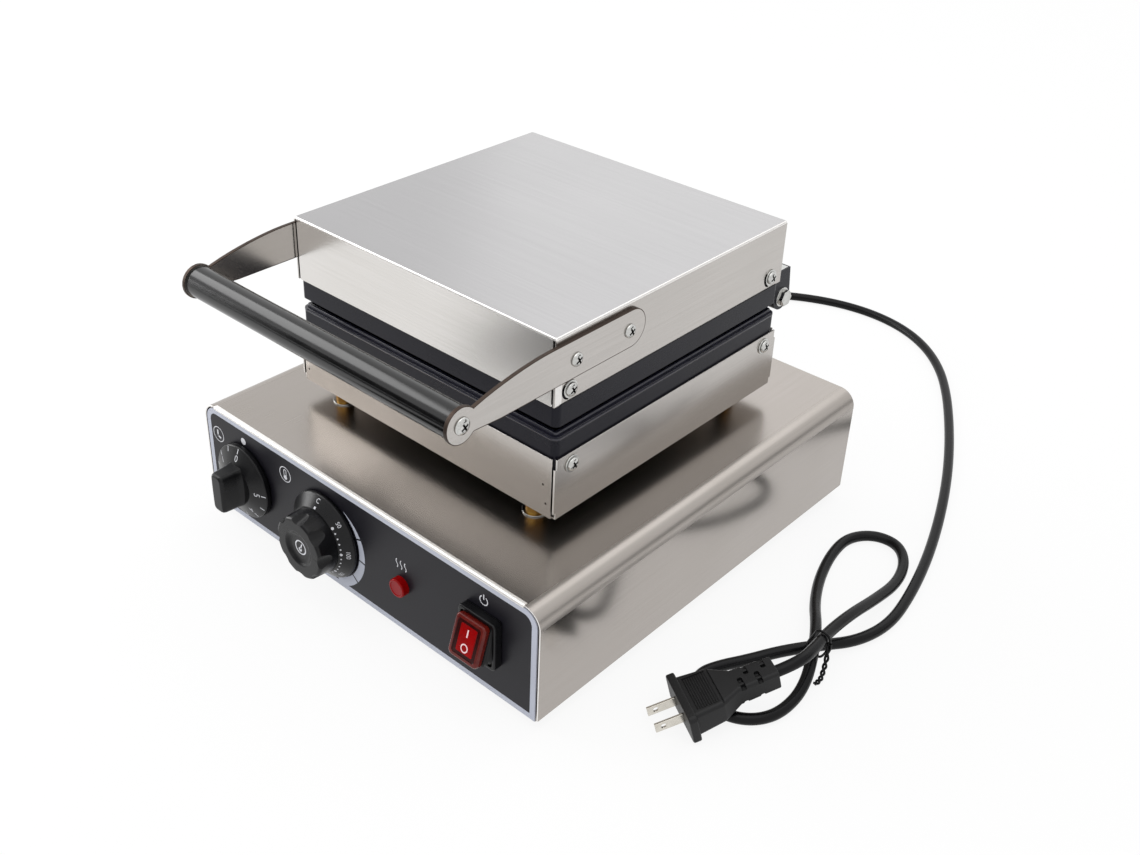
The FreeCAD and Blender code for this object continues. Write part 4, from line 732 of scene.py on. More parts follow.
def dress(finish: Finish, *names: str, edge: float = 0.0) -> None:
    """Gives CAD nodes a finish and, where an edge width is given, rounds their edges.

    Args:
        finish: the finish.
        names: the nodes.
        edge: the width of the rounding.
    """
    for name in names:
        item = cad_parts[name]
        for place in item.material_slots:
            place.material = finish.material()
        if edge:
            item.modifiers.new("weld", "WELD").merge_threshold = CAD_WELD * MM
            bevel = item.modifiers.new("edges", "BEVEL")
            bevel.width = edge * MM
            bevel.segments = 2
            bevel.limit_method = "ANGLE"
            bevel.angle_limit = radians(EDGE_ANGLE)
            item.modifiers.new("even_normals", "WEIGHTED_NORMAL")
        LOG.info("%s in %s", name, finish.name)


def rounded(half_x: float, half_y: float, radius: float, steps: int = 5) -> list[Corner]:
    """Gives a rectangle about the origin, with round corners.

    Args:
        half_x: half its width.
        half_y: half its height.
        radius: the radius of its corners.
        steps: in how many steps each is rounded.

    Returns:
        The corners.
    """
    return [(x * half_x, y * half_y, radius, steps) for x, y in ((-1, -1), (1, -1), (1, 1), (-1, 1))]


# Studio

@dataclass
class Studio:
    """Camera, pale floor, soft light."""

    spot: Triple = (491.398, -529.164, 537.397)
    right: Triple = (0.73235, 0.68053, 0.02322)
    up: Triple = (-0.35895, 0.35686, 0.86244)
    back: Triple = (0.57863, -0.63994, 0.50563)
    sensor: float = 36
    lens: float = 41.007
    shift: Pair = (0.02996, -0.05458)
    floor_half: float = 6000
    floor_drop: float = 0.1
    floor_tint: str = "#f2f2f2"
    floor_roughness: float = 0.9
    floor_glow: float = 0.88
    surround: float = 0.75
    # Each lamp's place, size and glow
    lamps: tuple[tuple[str, Triple, Pair, float], ...] = (
        ("back_softbox", (-1050, 1970, 1500), (1500, 1500), 0.3),
        ("top_softbox", (300, -300, 3000), (3000, 3000), 0.9),
        ("left_softbox", (-1500, -550, 1550), (1300, 900), 3.2),
        ("side_softbox", (-2300, -900, 370), (1400, 700), 6.5),
        ("bend_strip", (150, 1600, 1900), (1200, 900), 0.9))
    # Each card's place, size and turn
    cards: tuple[tuple[str, Triple, Triple, float], ...] = (
        ("floor_card", (-520, -1060, 1), (560, 800, 0), 0.0),
        ("front_card", (-900, -1780, 330), (1250, 0, 660), -43.0),
        ("near_card", (-65, -520, 1), (250, 420, 0), 0.0),
        ("side_card", (2300, 1700, 330), (1600, 0, 600), -35.0))

    def build(self) -> None:
        """Makes the camera, the floor, the world, the lamps and the cards."""
        scene = bpy.context.scene
        scene.view_settings.view_transform = "Standard"
        self.camera(scene)
        self.floor()
        self.world(scene)
        for lamp in self.lamps:
            self.lamp(*lamp)
        for card in self.cards:
            self.card(*card)

    def camera(self, scene: bpy.types.Scene) -> None:
        """Sets the scene's camera at the photograph's view.

        Args:
            scene: the scene.
        """
        data = bpy.data.cameras.new("camera")
        data.sensor_fit = "HORIZONTAL"
        data.sensor_width = self.sensor
        data.lens = self.lens
        data.shift_x, data.shift_y = self.shift
        turn = Matrix((self.right, self.up, self.back)).transposed().to_4x4()
        scene.camera = link("camera", data)
        scene.camera.matrix_world = Matrix.Translation(Vector(self.spot) * MM) @ turn

    def floor(self) -> None:
        """Lays a white floor that keeps the object's soft shadow."""
        white = bpy.data.materials.new("white_paper_floor")
        white.use_nodes = True
        tree = white.node_tree
        shader = tree.nodes["Principled BSDF"]
        shader.inputs["Base Color"].default_value = linear(self.floor_tint)
        shader.inputs["Roughness"].default_value = self.floor_roughness
        glow = add_node(tree, "ShaderNodeEmission", {"Color": WHITE, "Strength": 1.0}).outputs[0]
        share = add_node(tree, "ShaderNodeMath", {0: self.seen(tree), 1: self.floor_glow}, operation="MULTIPLY")
        mixed = add_node(tree, "ShaderNodeMixShader", {0: share.outputs[0], 1: shader.outputs[0], 2: glow}).outputs[0]
        tree.links.new(mixed, tree.nodes["Material Output"].inputs["Surface"])
        side = 2 * self.floor_half * MM
        item = self.panel("floor", move(z=-self.floor_drop * MM) @ Matrix.Diagonal((side, side, 1, 1)), white)

    def panel(self, name: str, at: Matrix, material: bpy.types.Material) -> bpy.types.Object:
        """Makes a flat panel from a square of 1 m.

        Args:
            name: the panel's name.
            at: its placement and sides.
            material: its material.

        Returns:
            The panel.
        """
        bm = bmesh.new()
        bmesh.ops.create_grid(bm, x_segments=1, y_segments=1, size=0.5, matrix=at)
        mesh = bpy.data.meshes.new(name)
        bm.to_mesh(mesh)
        bm.free()
        mesh.materials.append(material)
        return link(name, mesh)

    def card(self, name: str, spot: Triple, size: Triple, turn: float) -> None:
        """Sets a dark card that only shows in polished surfaces, as a flag beside the set does.

        Args:
            name: the card's name.
            spot: its middle.
            size: its size along X and either Y or Z; a card with height stands up.
            turn: its turn about Z, in degrees.
        """
        stand = Matrix.Rotation(pi / 2, 4, "X") if size[2] else Matrix()
        sides = Matrix.Diagonal((size[0] * MM, max(size[1:]) * MM, 1, 1))
        at = Matrix.Translation(Vector(spot) * MM) @ spin(radians(turn)) @ stand @ sides
        item = self.panel(name, at, BLACK_CARD.material())
        item.visible_camera = item.visible_diffuse = item.visible_shadow = False

    def seen(self, tree: bpy.types.NodeTree) -> bpy.types.NodeSocket:
        """Tells the rays that the eye sees directly, in a mirror or through glass.

        Args:
            tree: the nodes that ask.

        Returns:
            An output that is 1 for such a ray.
        """
        path = add_node(tree, "ShaderNodeLightPath", {}).outputs
        pair = add_node(tree, "ShaderNodeMath", {
            0: path["Is Camera Ray"], 1: path["Is Glossy Ray"]}, operation="MAXIMUM").outputs[0]
        return add_node(tree, "ShaderNodeMath", {
            0: pair, 1: path["Is Transmission Ray"]}, operation="MAXIMUM").outputs[0]

    def world(self, scene: bpy.types.Scene) -> None:
        """Surrounds the scene with white that lights it at an even, low level.

        Args:
            scene: the scene.
        """
        world = bpy.data.worlds.new("studio")
        world.use_nodes = True
        tree = world.node_tree
        level = add_node(tree, "ShaderNodeMapRange", {"Value": self.seen(tree), "To Min": self.surround})
        ground = tree.nodes["Background"]
        ground.inputs["Color"].default_value = WHITE
        tree.links.new(level.outputs[0], ground.inputs["Strength"])
        scene.world = world

    def lamp(self, name: str, spot: Triple, size: Pair, glow: float) -> None:
        """Hangs a soft rectangular lamp that looks at the object.

        Args:
            name: the lamp's name.
            spot: where it hangs.
            size: its width and height.
            glow: how bright its face is, where 1 is white.
        """
        data = bpy.data.lights.new(name, "AREA")
        data.shape = "RECTANGLE"
        data.size, data.size_y = size[0] * MM, size[1] * MM
        data.energy = glow * pi * data.size * data.size_y
        item = link(name, data)
        item.location = Vector(spot) * MM
        item.rotation_euler = Vector(spot).to_track_quat("Z", "Y").to_euler()
        item.visible_camera = False


# Mains lead

@dataclass
class MainsLead:
    """The lead, its strain relief, its plug and the wire tie round its loops."""

    radius: float = 3.5
    # The lead's length, in metres
    length: float = 1.34
    cord_steps: int = 8
    exit: Triple = (-100, 203.2, 38)
    gland: Triple = (-100, 170.2, 38)
    # The boot's flange and its far end, as radii and distances, round the grooves
    boot_flange: tuple[Corner, ...] = ((0, 0), (10, 0, 0.8, 3), (10, 3, 1.2, 3), (8.2, 3.2, 0.4, 2))
    boot_end: tuple[Corner, ...] = ((5.4, 32.8, 0.8, 3), (3.4, 33))
    boot_radius: float = 8
    boot_taper: float = 0.085
    grooves: Triple = (9, 16, 23)
    groove_width: float = 3
    groove_depth: float = 1.3
    groove_slope: float = 0.6
    neck: Triple = (230.3, -33.6, 24.55)
    face: Triple = (201.1, -81.5, 10.05)
    plug_length: float = 58
    # Half width, half height, corner, rise and distance from the face of each section of the plug
    sections: tuple[tuple[float, ...], ...] = (
        (16, 8.5, 2.5, 0, 4.5), (14.6, 7.8, 2.5, 0.4, 21.5), (14, 7.7, 2.5, 0.4, 22.8), (8.2, 6.7, 2.2, 0, 33.5),
        (7.4, 6.5, 2.2, 0, 58))
    flange: Triple = (19, 10, 5)
    # Corners of the flat that holds the ribs and of the groove at the shoulder
    rib_flat: tuple[Triple, Triple] = ((-12, 7.7, 7), (12, 10, 20.4))
    shoulder: tuple[Triple, Triple] = ((-16, 7.2, 21.8), (16, 10, 22.8))
    # Half length, foot and top of a rib
    rib: Triple = (11.6, 7.2, 8.25)
    ribs: int = 9
    rib_start: float = 7.6
    rib_pitch: float = 1.4
    rib_width: float = 0.75
    # The slots' distances from the face, then a slot's reach sideways and in height, and half its width
    slots: tuple[float, ...] = (36.5, 41.6, 46.7, 52)
    slot_reach: Pair = (0.3, 9)
    slot_height: Pair = (4.2, 9)
    slot_half: float = 1.5
    # The bridge across a slot: its reach sideways, then in height, and half its length
    bridge: tuple[float, ...] = (3.2, 4.9, 3.5, 6, 1.7)
    tie_radius: float = 0.75
    tie_steps: int = 3
    twist: float = 0.9
    twist_step: float = 0.3
    # A direction that the tie's wire never runs in
    twist_side: Triple = (0.3, 1, 0.2)
    route: tuple[Triple, ...] = (
        (-100, 228, 38), (-100, 258, 30), (-99, 290, 14), (-95, 323, 3.5), (-83, 357, 3.5), (-62, 385, 3.5),
        (-34, 406, 3.5), (-1, 420, 3.5), (32, 424, 3.5), (64, 418, 3.5), (93, 402, 3.5), (119, 377, 3.5),
        (141, 346, 3.5), (162, 310, 3.5), (182, 272, 3.5), (201, 231, 3.5), (218, 188, 3.5), (232, 146, 3.5),
        (242, 106, 3.5), (247, 71, 3.5), (241, 43, 4.2), (227, 22, 5.7), (213, 2, 5.2), (202, -17, 3.5),
        (193.5, -31.5, 3.5), (188.5, -45, 3.5), (193, -56, 3.5), (206, -61.5, 3.5), (221, -61.5, 3.5),
        (234, -52.5, 3.5), (240.5, -37, 3.5), (240.5, -16, 6.5), (232, 6, 13.2), (220, 28, 13.2), (205, 51, 6.5),
        (192, 78, 3.5), (184, 106, 3.5), (183, 128, 3.5), (194, 143, 3.5), (211, 145, 3.5), (224, 131, 3.5),
        (231, 107, 4.5), (232, 75, 11), (232.3, 46, 18.4), (233, 18, 22.3), (236.5, -2, 26), (237.8, -21.2, 28.3))
    tie: tuple[Triple, ...] = (
        (229.8, 10, 8.3), (226, 10.5, 8.4), (224.4, 10.5, 13.5), (228, 10, 22), (230.4, 9.5, 28.4), (237, 9.5, 28.6),
        (239.5, 9.5, 25), (238.6, 10, 18), (235.4, 10, 9.6), (232, 10, 8.3), (229.8, 10, 8.3))
    tail: tuple[Triple, ...] = (
        (239.2, 9.5, 23), (240, 7.5, 16.5), (241, 4.5, 10.5), (241.8, 1.5, 6), (242.2, -1.5, 2.8), (240.6, -4, 1.8))

    def build(self) -> None:
        """Makes the lead and the pieces on it."""
        pieces = [self.strain_relief(), self.plug(), self.wire_tie()]
        dress(NICKEL, "plug_blades", edge=0.25)
        cord = self.spline("mains_lead_cord", (self.exit, *self.route, self.neck))
        cord.bevel_depth = self.radius * MM
        cord.bevel_resolution = cord.resolution_u = self.cord_steps
        cord.use_fill_caps = True
        cord.materials.append(PVC.material())
        item = settle(link("mains_lead_cord", cord), Body.BASE, ["mains_lead"])

    def spline(self, name: str, points: Sequence[Triple]) -> bpy.types.Curve:
        """Draws one smooth open line.

        Args:
            name: the curve's name.
            points: its control points.

        Returns:
            The curve.
        """
        curve = bpy.data.curves.new(name, "CURVE")
        curve.dimensions = "3D"
        line = curve.splines.new("NURBS")
        line.points.add(len(points) - 1)
        for spot, point in zip(line.points, points):
            spot.co = (*(value * MM for value in point), 1)
        line.order_u = 3
        line.use_endpoint_u = True
        return curve

    def strain_relief(self) -> bpy.types.Object:
        """Makes a tapered boot with three grooves behind a flange.

        Returns:
            The boot.
        """
        grooves: list[Corner] = []
        for start in self.grooves:
            end = start + self.groove_width
            wide, slim = (self.boot_radius - place * self.boot_taper for place in (start, end))
            grooves += [(wide, start, 0.3, 2), (wide - self.groove_depth, start + self.groove_slope, 0.4, 2),
                        (slim - self.groove_depth, end - self.groove_slope, 0.4, 2), (slim, end, 0.3, 2)]
        boot = Shape().lathe([*self.boot_flange, *grooves, *self.boot_end])
        return boot.placed(Facing.BACK.at(*self.gland)).show(
            "cord_boot", [PVC_PLUG], Body.BASE, Slot.RUBBER, ["strain_relief"])

    def plug_place(self) -> Matrix:
        """Works out where the plug lies: local Z runs from its flange to its neck, local Y looks up.

        Returns:
            The plug's placement.
        """
        back = (Vector(self.neck) - Vector(self.face)).normalized()
        level = Vector((0, 0, 1)).cross(back).normalized()
        turn = Matrix((level, back.cross(level), back)).transposed().to_4x4()
        return Matrix.Translation(Vector(self.neck) - back * self.plug_length) @ turn

    def plug(self) -> bpy.types.Object:
        """Makes a moulded two-blade plug with ribs on its grip, a shoulder and slots in its neck.

        Returns:
            The plug.
        """
        body = Shape().loft([(rounded(*sizes, 4), move(0, rise, z)) for *sizes, rise, z in self.sections])
        body.soften(0.6, 2, 50)
        hollows, bridges = Shape(), Shape()
        inner, outer = self.slot_reach
        deep, high = self.slot_height
        near, far, foot, crest, half = self.bridge
        for row, z in enumerate(self.slots):
            side = SIDES[row % 2]
            for from_y, to_y in ((deep, high), (-high, -deep)):
                hollows.add(Shape().block((side * inner, from_y, z - self.slot_half),
                                          (side * outer, to_y, z + self.slot_half)).soften(1.1, 3))
            bridges.add(Shape().block((side * near, foot, z - half), (side * far, crest, z + half)).soften(0.3, 1))
        hollows.add(Shape().block(*self.rib_flat))
        hollows.add(Shape().block(*self.shoulder).soften(0.3, 1))
        half_x, half_y, thickness = self.flange
        whole = Shape().add(Shape().prism(rounded(half_x, half_y, 3, 4), thickness).soften(0.9, 2))
        whole.add(body.carve(hollows)).add(bridges)
        reach, foot, crest = self.rib
        for step in range(self.ribs):
            z = self.rib_start + step * self.rib_pitch
            whole.add(Shape().block((-reach, foot, z), (reach, crest, z + self.rib_width)).soften(0.25, 1))
        return whole.placed(self.plug_place()).show("moulded_plug", [PVC_PLUG], Body.BASE, Slot.RUBBER, ["plug_body"])

    def wire_tie(self) -> bpy.types.Object:
        """Makes a coated wire round the crossing, its two ends twisted into a tail.

        Returns:
            The wire tie.
        """
        curve = bpy.data.curves.new("wire_tie", "CURVE")
        curve.dimensions = "3D"
        for points, phase, swing in ((self.tie, 0.0, 0.0), (self.tail, 0.0, self.twist), (self.tail, pi, self.twist)):
            self.strand(curve, points, phase, swing)
        curve.bevel_depth = self.tie_radius * MM
        curve.bevel_resolution = self.tie_steps
        mesh = bpy.data.meshes.new_from_object(bpy.data.objects.new("wire_tie", curve))
        bpy.data.curves.remove(curve)
        mesh.materials.append(PVC.material())
        return settle(link("wire_tie", mesh), Body.BASE, ["cord_tie"])

    def strand(self, curve: bpy.types.Curve, points: Sequence[Triple], phase: float, swing: float) -> None:
        """Adds one wire that winds round the smooth line of some points.

        Args:
            curve: the curve that gets the wire.
            points: the line's control points.
            phase: where the winding starts, in radians.
            swing: how far the wire keeps from the line.
        """
        guide = self.spline("guide", points)
        mesh = bpy.data.meshes.new_from_object(bpy.data.objects.new("guide", guide))
        spots = [vert.co.copy() for vert in mesh.vertices]
        bpy.data.curves.remove(guide)
        bpy.data.meshes.remove(mesh)
        wire = curve.splines.new("POLY")
        wire.points.add(len(spots) - 1)
        for index, (spot, here) in enumerate(zip(wire.points, spots)):
            ahead = spots[min(index + 1, len(spots) - 1)] - spots[max(index - 1, 0)]
            side = ahead.cross(self.twist_side).normalized()
            over = side.cross(ahead).normalized()
            turn = phase + index * self.twist_step
            spot.co = (*(here + (side * cos(turn) + over * sin(turn)) * swing * MM), 1)


# Base

@dataclass
class BaseBox:
    """The folded base cover with its panels, floor and feet."""

    half: float = 150
    front: float = -142.2
    back: float = 170.8
    low: float = 8
    top: float = 84
    wall: float = 1
    bend: float = 11.5
    lip: float = 14
    lip_tuck: float = 0.5
    notch: float = 18
    hem: float = 3.2
    hem_depth: float = 1.9
    hem_nose: float = 1.4
    hem_rear: float = 0.45
    hem_gap: float = 0.5
    hem_out: float = 0.8
    hem_rise: float = 0.5

    def build(self) -> None:
        """Makes the cover and dresses the panels, the floor and the feet."""
        cut, hem, flank, bend = range(1, 5)
        hood = Shape().sheet([
            (-self.half, self.low), (-self.half, self.top, self.bend, 10), (self.half, self.top, self.bend, 10),
            (self.half, self.low)], self.back - self.front, self.wall).soften(0.22, 2, 60)
        # All that leans sideways, then the upright sides, then the cut edges, whose paler steel is painted highlight
        hood.paint(bend, lambda face: abs(face.normal.x) > 0.02)
        hood.paint(flank, lambda face: abs(face.normal.x) > 0.999)
        hood.paint(cut, lambda face: abs(face.normal.z) > 0.6)
        cover = hood.placed(Facing.FRONT.at(0, self.back, 0))
        for side in SIDES:
            cover.add(Shape().block(
                (side * (self.half - self.lip), self.front + self.notch, self.low),
                (side * (self.half - self.lip_tuck), self.back - self.notch, self.low + self.wall)))
        reach = self.half - self.bend - self.hem_gap
        # The rolled hem along the top's front edge takes a near-white steel: painted highlight
        roll = Shape().prism([(0, -self.hem_depth), (self.hem, -self.hem_depth), (self.hem, 0, self.hem_rear, 3),
                              (0, 0, self.hem_nose, 6)], 2 * reach)
        cover.add(roll, Facing.RIGHT.at(-reach, self.front - self.hem_out, self.top + self.hem_rise), hem)
        cover.show("base_cover_sheet", [STEEL_BASE, EDGE_HIGHLIGHT, HEM_HIGHLIGHT, STEEL_FLANK, STEEL_BEND], Body.BASE,
                   Slot.SHEET, ["base_cover"])
        dress(STEEL_BASE, "front_panel", "back_panel", "bottom_plate")
        dress(RUBBER, "rubber_feet", edge=0.6)
        dress(ZINC, "foot_screws", "foot_nuts", "bottom_screws", "strain_relief_nut")


@dataclass
class ControlFascia:
    """The printed film on the front panel."""

    half: float = 147.7
    low: float = 6.8
    top: float = 82.5
    face: float = -142.4
    thickness: float = 0.8
    corner: float = 10
    border: float = 3.8
    lift: float = 0.06
    dial_x: float = -27.3
    dial_z: float = 42.3
    # The scale round the temperature dial: its parts from angle to angle, its radii and its outer edge, angle by angle
    scale_parts: tuple[Pair, ...] = ((56, 21), (19, -8), (-10, -40), (-42, -75))
    scale_radii: Pair = (30.2, 36.4)
    scale_edge: tuple[Pair, ...] = ((56.1, 30.3), (19, 34.2), (-5, 35.3), (-60, 36.4), (-76, 36.4))

    def build(self) -> None:
        """Makes the film and its print."""
        film = Shape().prism([
            (-self.half, self.low), (self.half, self.low), (self.half, self.top, self.corner, 8),
            (-self.half, self.top, self.corner, 8)], self.thickness)
        film.paint(1, lambda face: face.normal.z > 0.9).inset(1, self.border)
        film.placed(Facing.FRONT.at(0, self.face + self.thickness, 0)).show(
            "control_film", [FILM_BORDER, FILM_FIELD], Body.BASE, Slot.FILM, ["control_fascia"])
        ink = Shape()
        for x, z, marks in self.pictograms():
            for mark in marks:
                ink.add(mark, Facing.FRONT.at(x, self.face - self.lift, z), 0)
        for start, end in self.scale_parts:
            ink.add(self.scale_part(start, end), Facing.FRONT.at(self.dial_x, self.face - self.lift, self.dial_z), 1)
        ink.show("panel_print", [WHITE_INK, GREY_INK], Body.BASE, Slot.FILM)

    def pictograms(self) -> list[tuple[float, float, list[Shape]]]:
        """Draws the dot over the timer and the signs for time, heat level, heating and power.

        Returns:
            Each sign's place and marks.
        """
        clock = [Shape().band(5.1, 5.7), Shape().stroke((-0.7, 3.3), (-0.7, -1.6), 1.4),
                 Shape().stroke((-1.2, -1.0), (2.3, -2.3), 1.4)]
        glass = [Shape().band(5.0, 5.6), Shape().disc(1.7).placed(move(y=-2.2)),
                 Shape().band(0.8, 1.4, 0, 180).placed(move(y=2.4))]
        glass += [Shape().stroke((x, -1.4), (x, 2.4), 0.6) for x in (-1.1, 1.1)]
        waves = [Shape().band(1.65, 2.3, start, 98).placed(move(x + side * 1.3, side * 1.5))
                 for x in (-3.6, 0, 3.6) for side, start in ((-1, -49), (1, 131))]
        power = [Shape().band(2.6, 3.3, 122, 296), Shape().stroke((0, 0.6), (0, 4.2), 0.8)]
        return [(-108.6, 71.2, [Shape().disc(2.5)]), (-136.4, 63.9, clock), (-66.1, 66.6, glass),
                (40.8, 55.6, waves), (108.2, 69.6, power)]

    def scale_part(self, start: float, end: float) -> Shape:
        """Makes one part of the scale round the temperature dial, which widens as it goes down.

        Args:
            start: the part's first angle, in degrees from the right.
            end: its last angle.

        Returns:
            The flat part.
        """
        part = Shape().band(*self.scale_radii, start, end - start)
        for vert in part.bm.verts:
            radius = hypot(vert.co.x, vert.co.y)
            angle = degrees(atan2(vert.co.y, vert.co.x))
            for (high, wide), (low, wider) in zip(self.scale_edge, self.scale_edge[1:]):
                if radius > sum(self.scale_radii) / 2 and low <= angle <= high:
                    vert.co *= (wide + (wider - wide) * (high - angle) / (high - low)) / radius
                    break
        return part


# Controls

@dataclass
class Dial:
    """A knob on the front panel, with figures on its sloping skirt."""

    x: float
    radius: float
    rim: float
    slope_radius: float
    slope_top: float
    z: float = 42.3
    face: float = -142.4
    lift: float = 1.0
    ink: float = 0.07

    def place(self) -> Matrix:
        """Gives the knob's placement, with local Z out of the panel."""
        return Facing.FRONT.at(self.x, self.face, self.z)

    def skirt(self) -> Shape:
        """Makes the turned skirt, rounded at its rim.

        Returns:
            The skirt in the knob's own frame.
        """
        return Shape().lathe([
            (0, self.lift), (self.radius, self.lift, 0.4, 2), (self.radius, self.rim, 0.7, 3),
            (self.slope_radius, self.slope_top, 0.6, 3), (0, self.slope_top)], 96)

    def on_slope(self, angle: float, radius: float) -> Matrix:
        """Gives the placement of a mark on the skirt's slope, with its top outwards.

        Args:
            angle: the mark's angle round the dial, in degrees from the right.
            radius: its distance from the dial's axis.

        Returns:
            The placement in the knob's own frame.
        """
        fall = (self.slope_top - self.rim) / (self.radius - self.slope_radius)
        height = self.slope_top - (radius - self.slope_radius) * fall + self.ink
        tilt = Matrix.Rotation(-atan2(fall, 1), 4, "X")
        return spin(radians(angle - 90)) @ move(0, radius, height) @ tilt


@dataclass
class TimerDial(Dial):
    """The timer's knob: a bar grip on a skirt with minutes."""

    x: float = -108.2
    radius: float = 26
    rim: float = 4.3
    slope_radius: float = 14
    slope_top: float = 9
    # Height, half width, half length and bulge of each level of the grip
    levels: tuple[tuple[float, ...], ...] = (
        (7.4, 6.5, 15, 6), (9.4, 6.1, 14.8, 3.8), (13, 5.7, 14.4, 1.8), (21.4, 5.4, 14, 0.5), (22.9, 5.1, 13.7, 0.45),
        (23.7, 4.5, 13.1, 0.4), (24, 3.6, 12.2, 0.35))
    # Rounding of the grip's ends, and of its sides as a share of its half length, each with its steps
    end_round: Pair = (2.4, 4)
    side_round: Pair = (0.75, 8)
    # The first mark's angle, then the ticks and the minutes with the angle from one to the next
    first: float = 90
    ticks: int = 11
    tick_step: float = 27
    tick_radius: float = 23.8
    tick: tuple[Pair, Pair, float] = ((0, -1.9), (0, 1.6), 0.7)
    minutes: int = 6
    minute_step: float = 54
    figure_size: float = 6.2
    figure_radius: float = 18.9

    def build(self) -> None:
        """Makes the knob and prints its figures."""
        grip = Shape().loft([(self.bar(*sizes), move(z=height)) for height, *sizes in self.levels])
        self.skirt().add(grip).placed(self.place()).show(
            "timer_knob_moulding", [ABS], Body.TIMER, Slot.PLASTIC, ["timer_knob"])
        ink = Shape()
        for step in range(self.ticks):
            mark = Shape().stroke(*self.tick)
            ink.add(mark, self.on_slope(self.first + step * self.tick_step, self.tick_radius))
        for minute in range(self.minutes):
            mark = Shape().figures(str(minute), self.figure_size)
            ink.add(mark, self.on_slope(self.first + minute * self.minute_step, self.figure_radius))
        ink.placed(self.place()).show("timer_figures", [WHITE_INK], Body.TIMER, Slot.FILM)

    def bar(self, half_x: float, half_y: float, bulge: float) -> list[Corner]:
        """Gives the grip's outline at one level: round ends, and long sides that bow outwards.

        Args:
            half_x: half its width at the ends.
            half_y: half its length.
            bulge: how far a side bows.

        Returns:
            The outline's corners.
        """
        end = self.end_round
        side = (half_y * self.side_round[0], self.side_round[1])
        return [(-half_x, -half_y, *end), (half_x, -half_y, *end), (half_x + bulge, 0, *side),
                (half_x, half_y, *end), (-half_x, half_y, *end), (-half_x - bulge, 0, *side)]


@dataclass
class TemperatureDial(Dial):
    """The thermostat's knob: a fluted grip on a skirt with degrees."""

    x: float = -27.3
    radius: float = 29.3
    rim: float = 3
    slope_radius: float = 21.6
    slope_top: float = 9
    grip: float = 21
    grip_low: float = 8.5
    top: float = 22.5
    dish: float = 2
    dish_ink: float = 0.08
    flutes: int = 8
    flute_radius: float = 26.7
    # The cutter of a flute, as radii and heights
    flute: tuple[Corner, ...] = ((0, 10.6), (5.2, 10.6, 4, 8), (10.6, 30), (0, 30))
    # The first mark's angle, then the dots and the figures with the angle from one to the next
    first: float = 45
    dots: int = 26
    dot_step: float = 9
    dot_radius: float = 22.9
    # A dot's radius, and that of every fifth
    dot_sizes: Pair = (0.55, 0.95)
    figures: int = 6
    figure_step: float = 45
    figure_degrees: int = 50
    figure_size: float = 3.9
    figure_radius: float = 26.3

    def build(self) -> None:
        """Makes the knob and prints its figures."""
        grip = Shape().lathe([
            (0, self.grip_low), (self.grip, self.grip_low), (self.grip, self.top, 2.2, 5), (12, self.top, 0.7, 3),
            (9.4, self.top - 1.9, 1.6, 4), (0, self.top - self.dish)], 96)
        nose = Shape().lathe(self.flute, 48)
        noses = Shape()
        for index in range(self.flutes):
            noses.add(nose, spin(index * 2 * pi / self.flutes) @ move(self.flute_radius))
        grip.carve(noses).soften(0.35, 2, 28)
        self.skirt().add(grip).placed(self.place()).show(
            "temperature_knob_moulding", [ABS], Body.TEMPERATURE, Slot.PLASTIC, ["temp_knob"])
        self.print_marks()

    def print_marks(self) -> None:
        """Prints dots, figures and the sign in the dish."""
        ink = Shape()
        for step in range(self.dots):
            mark = Shape().disc(self.dot_sizes[step % 5 == 0])
            ink.add(mark, self.on_slope(self.first - step * self.dot_step, self.dot_radius))
        for step in range(self.figures):
            mark = Shape().figures(str(self.figure_degrees * (step + 1)), self.figure_size)
            ink.add(mark, self.on_slope(self.first - step * self.figure_step, self.figure_radius))
        ink.add(Shape().figures("C", 4.4), self.on_slope(90, 26.6))
        ink.add(Shape().stroke((0, -0.8), (0, 0.8), 1.6), self.on_slope(90, 23.0))
        for mark in (Shape().band(4.2, 5.1), Shape().stroke((-0.3, -1.4), (1.3, 2.9), 1.0),
                     Shape().disc(1.5).placed(move(-0.5, -1.7))):
            ink.add(mark, move(z=self.top - self.dish + self.dish_ink))
        ink.placed(self.place()).show("temperature_figures", [WHITE_INK], Body.TEMPERATURE, Slot.FILM)


@dataclass
class HeatLamp:
    """The red lamp lens."""

    x: float = 40.8
    z: float = 40.8
    face: float = -142.4
    radius: float = 6.25
    height: float = 4.8
    step_radius: float = 4.7
    step: float = 0.3
    step_slope: float = 0.2
    sag: float = 0.25

    def build(self) -> None:
        """Makes the lens, a clear wall and a frosted face, and dresses the lamp behind it."""
        lens = Shape().lathe([
            (0, 0), (self.radius, 0), (self.radius, self.height, 1.0, 4), (self.step_radius, self.height, 0.2, 1),
            (self.step_radius - self.step_slope, self.height - self.step, 0.2, 1), (0, self.height - self.sag)])
        lens.paint(1, lambda face: face.normal.z > 0.98)
        lens.placed(Facing.FRONT.at(self.x, self.face, self.z)).show(
            "heat_lamp_lens", [CLEAR_RED, FROSTED_RED], Body.BASE, Slot.LENS, ["lamp_lens"])
        dress(PHENOLIC, "lamp_body")
        dress(ZINC, "lamp_nut")


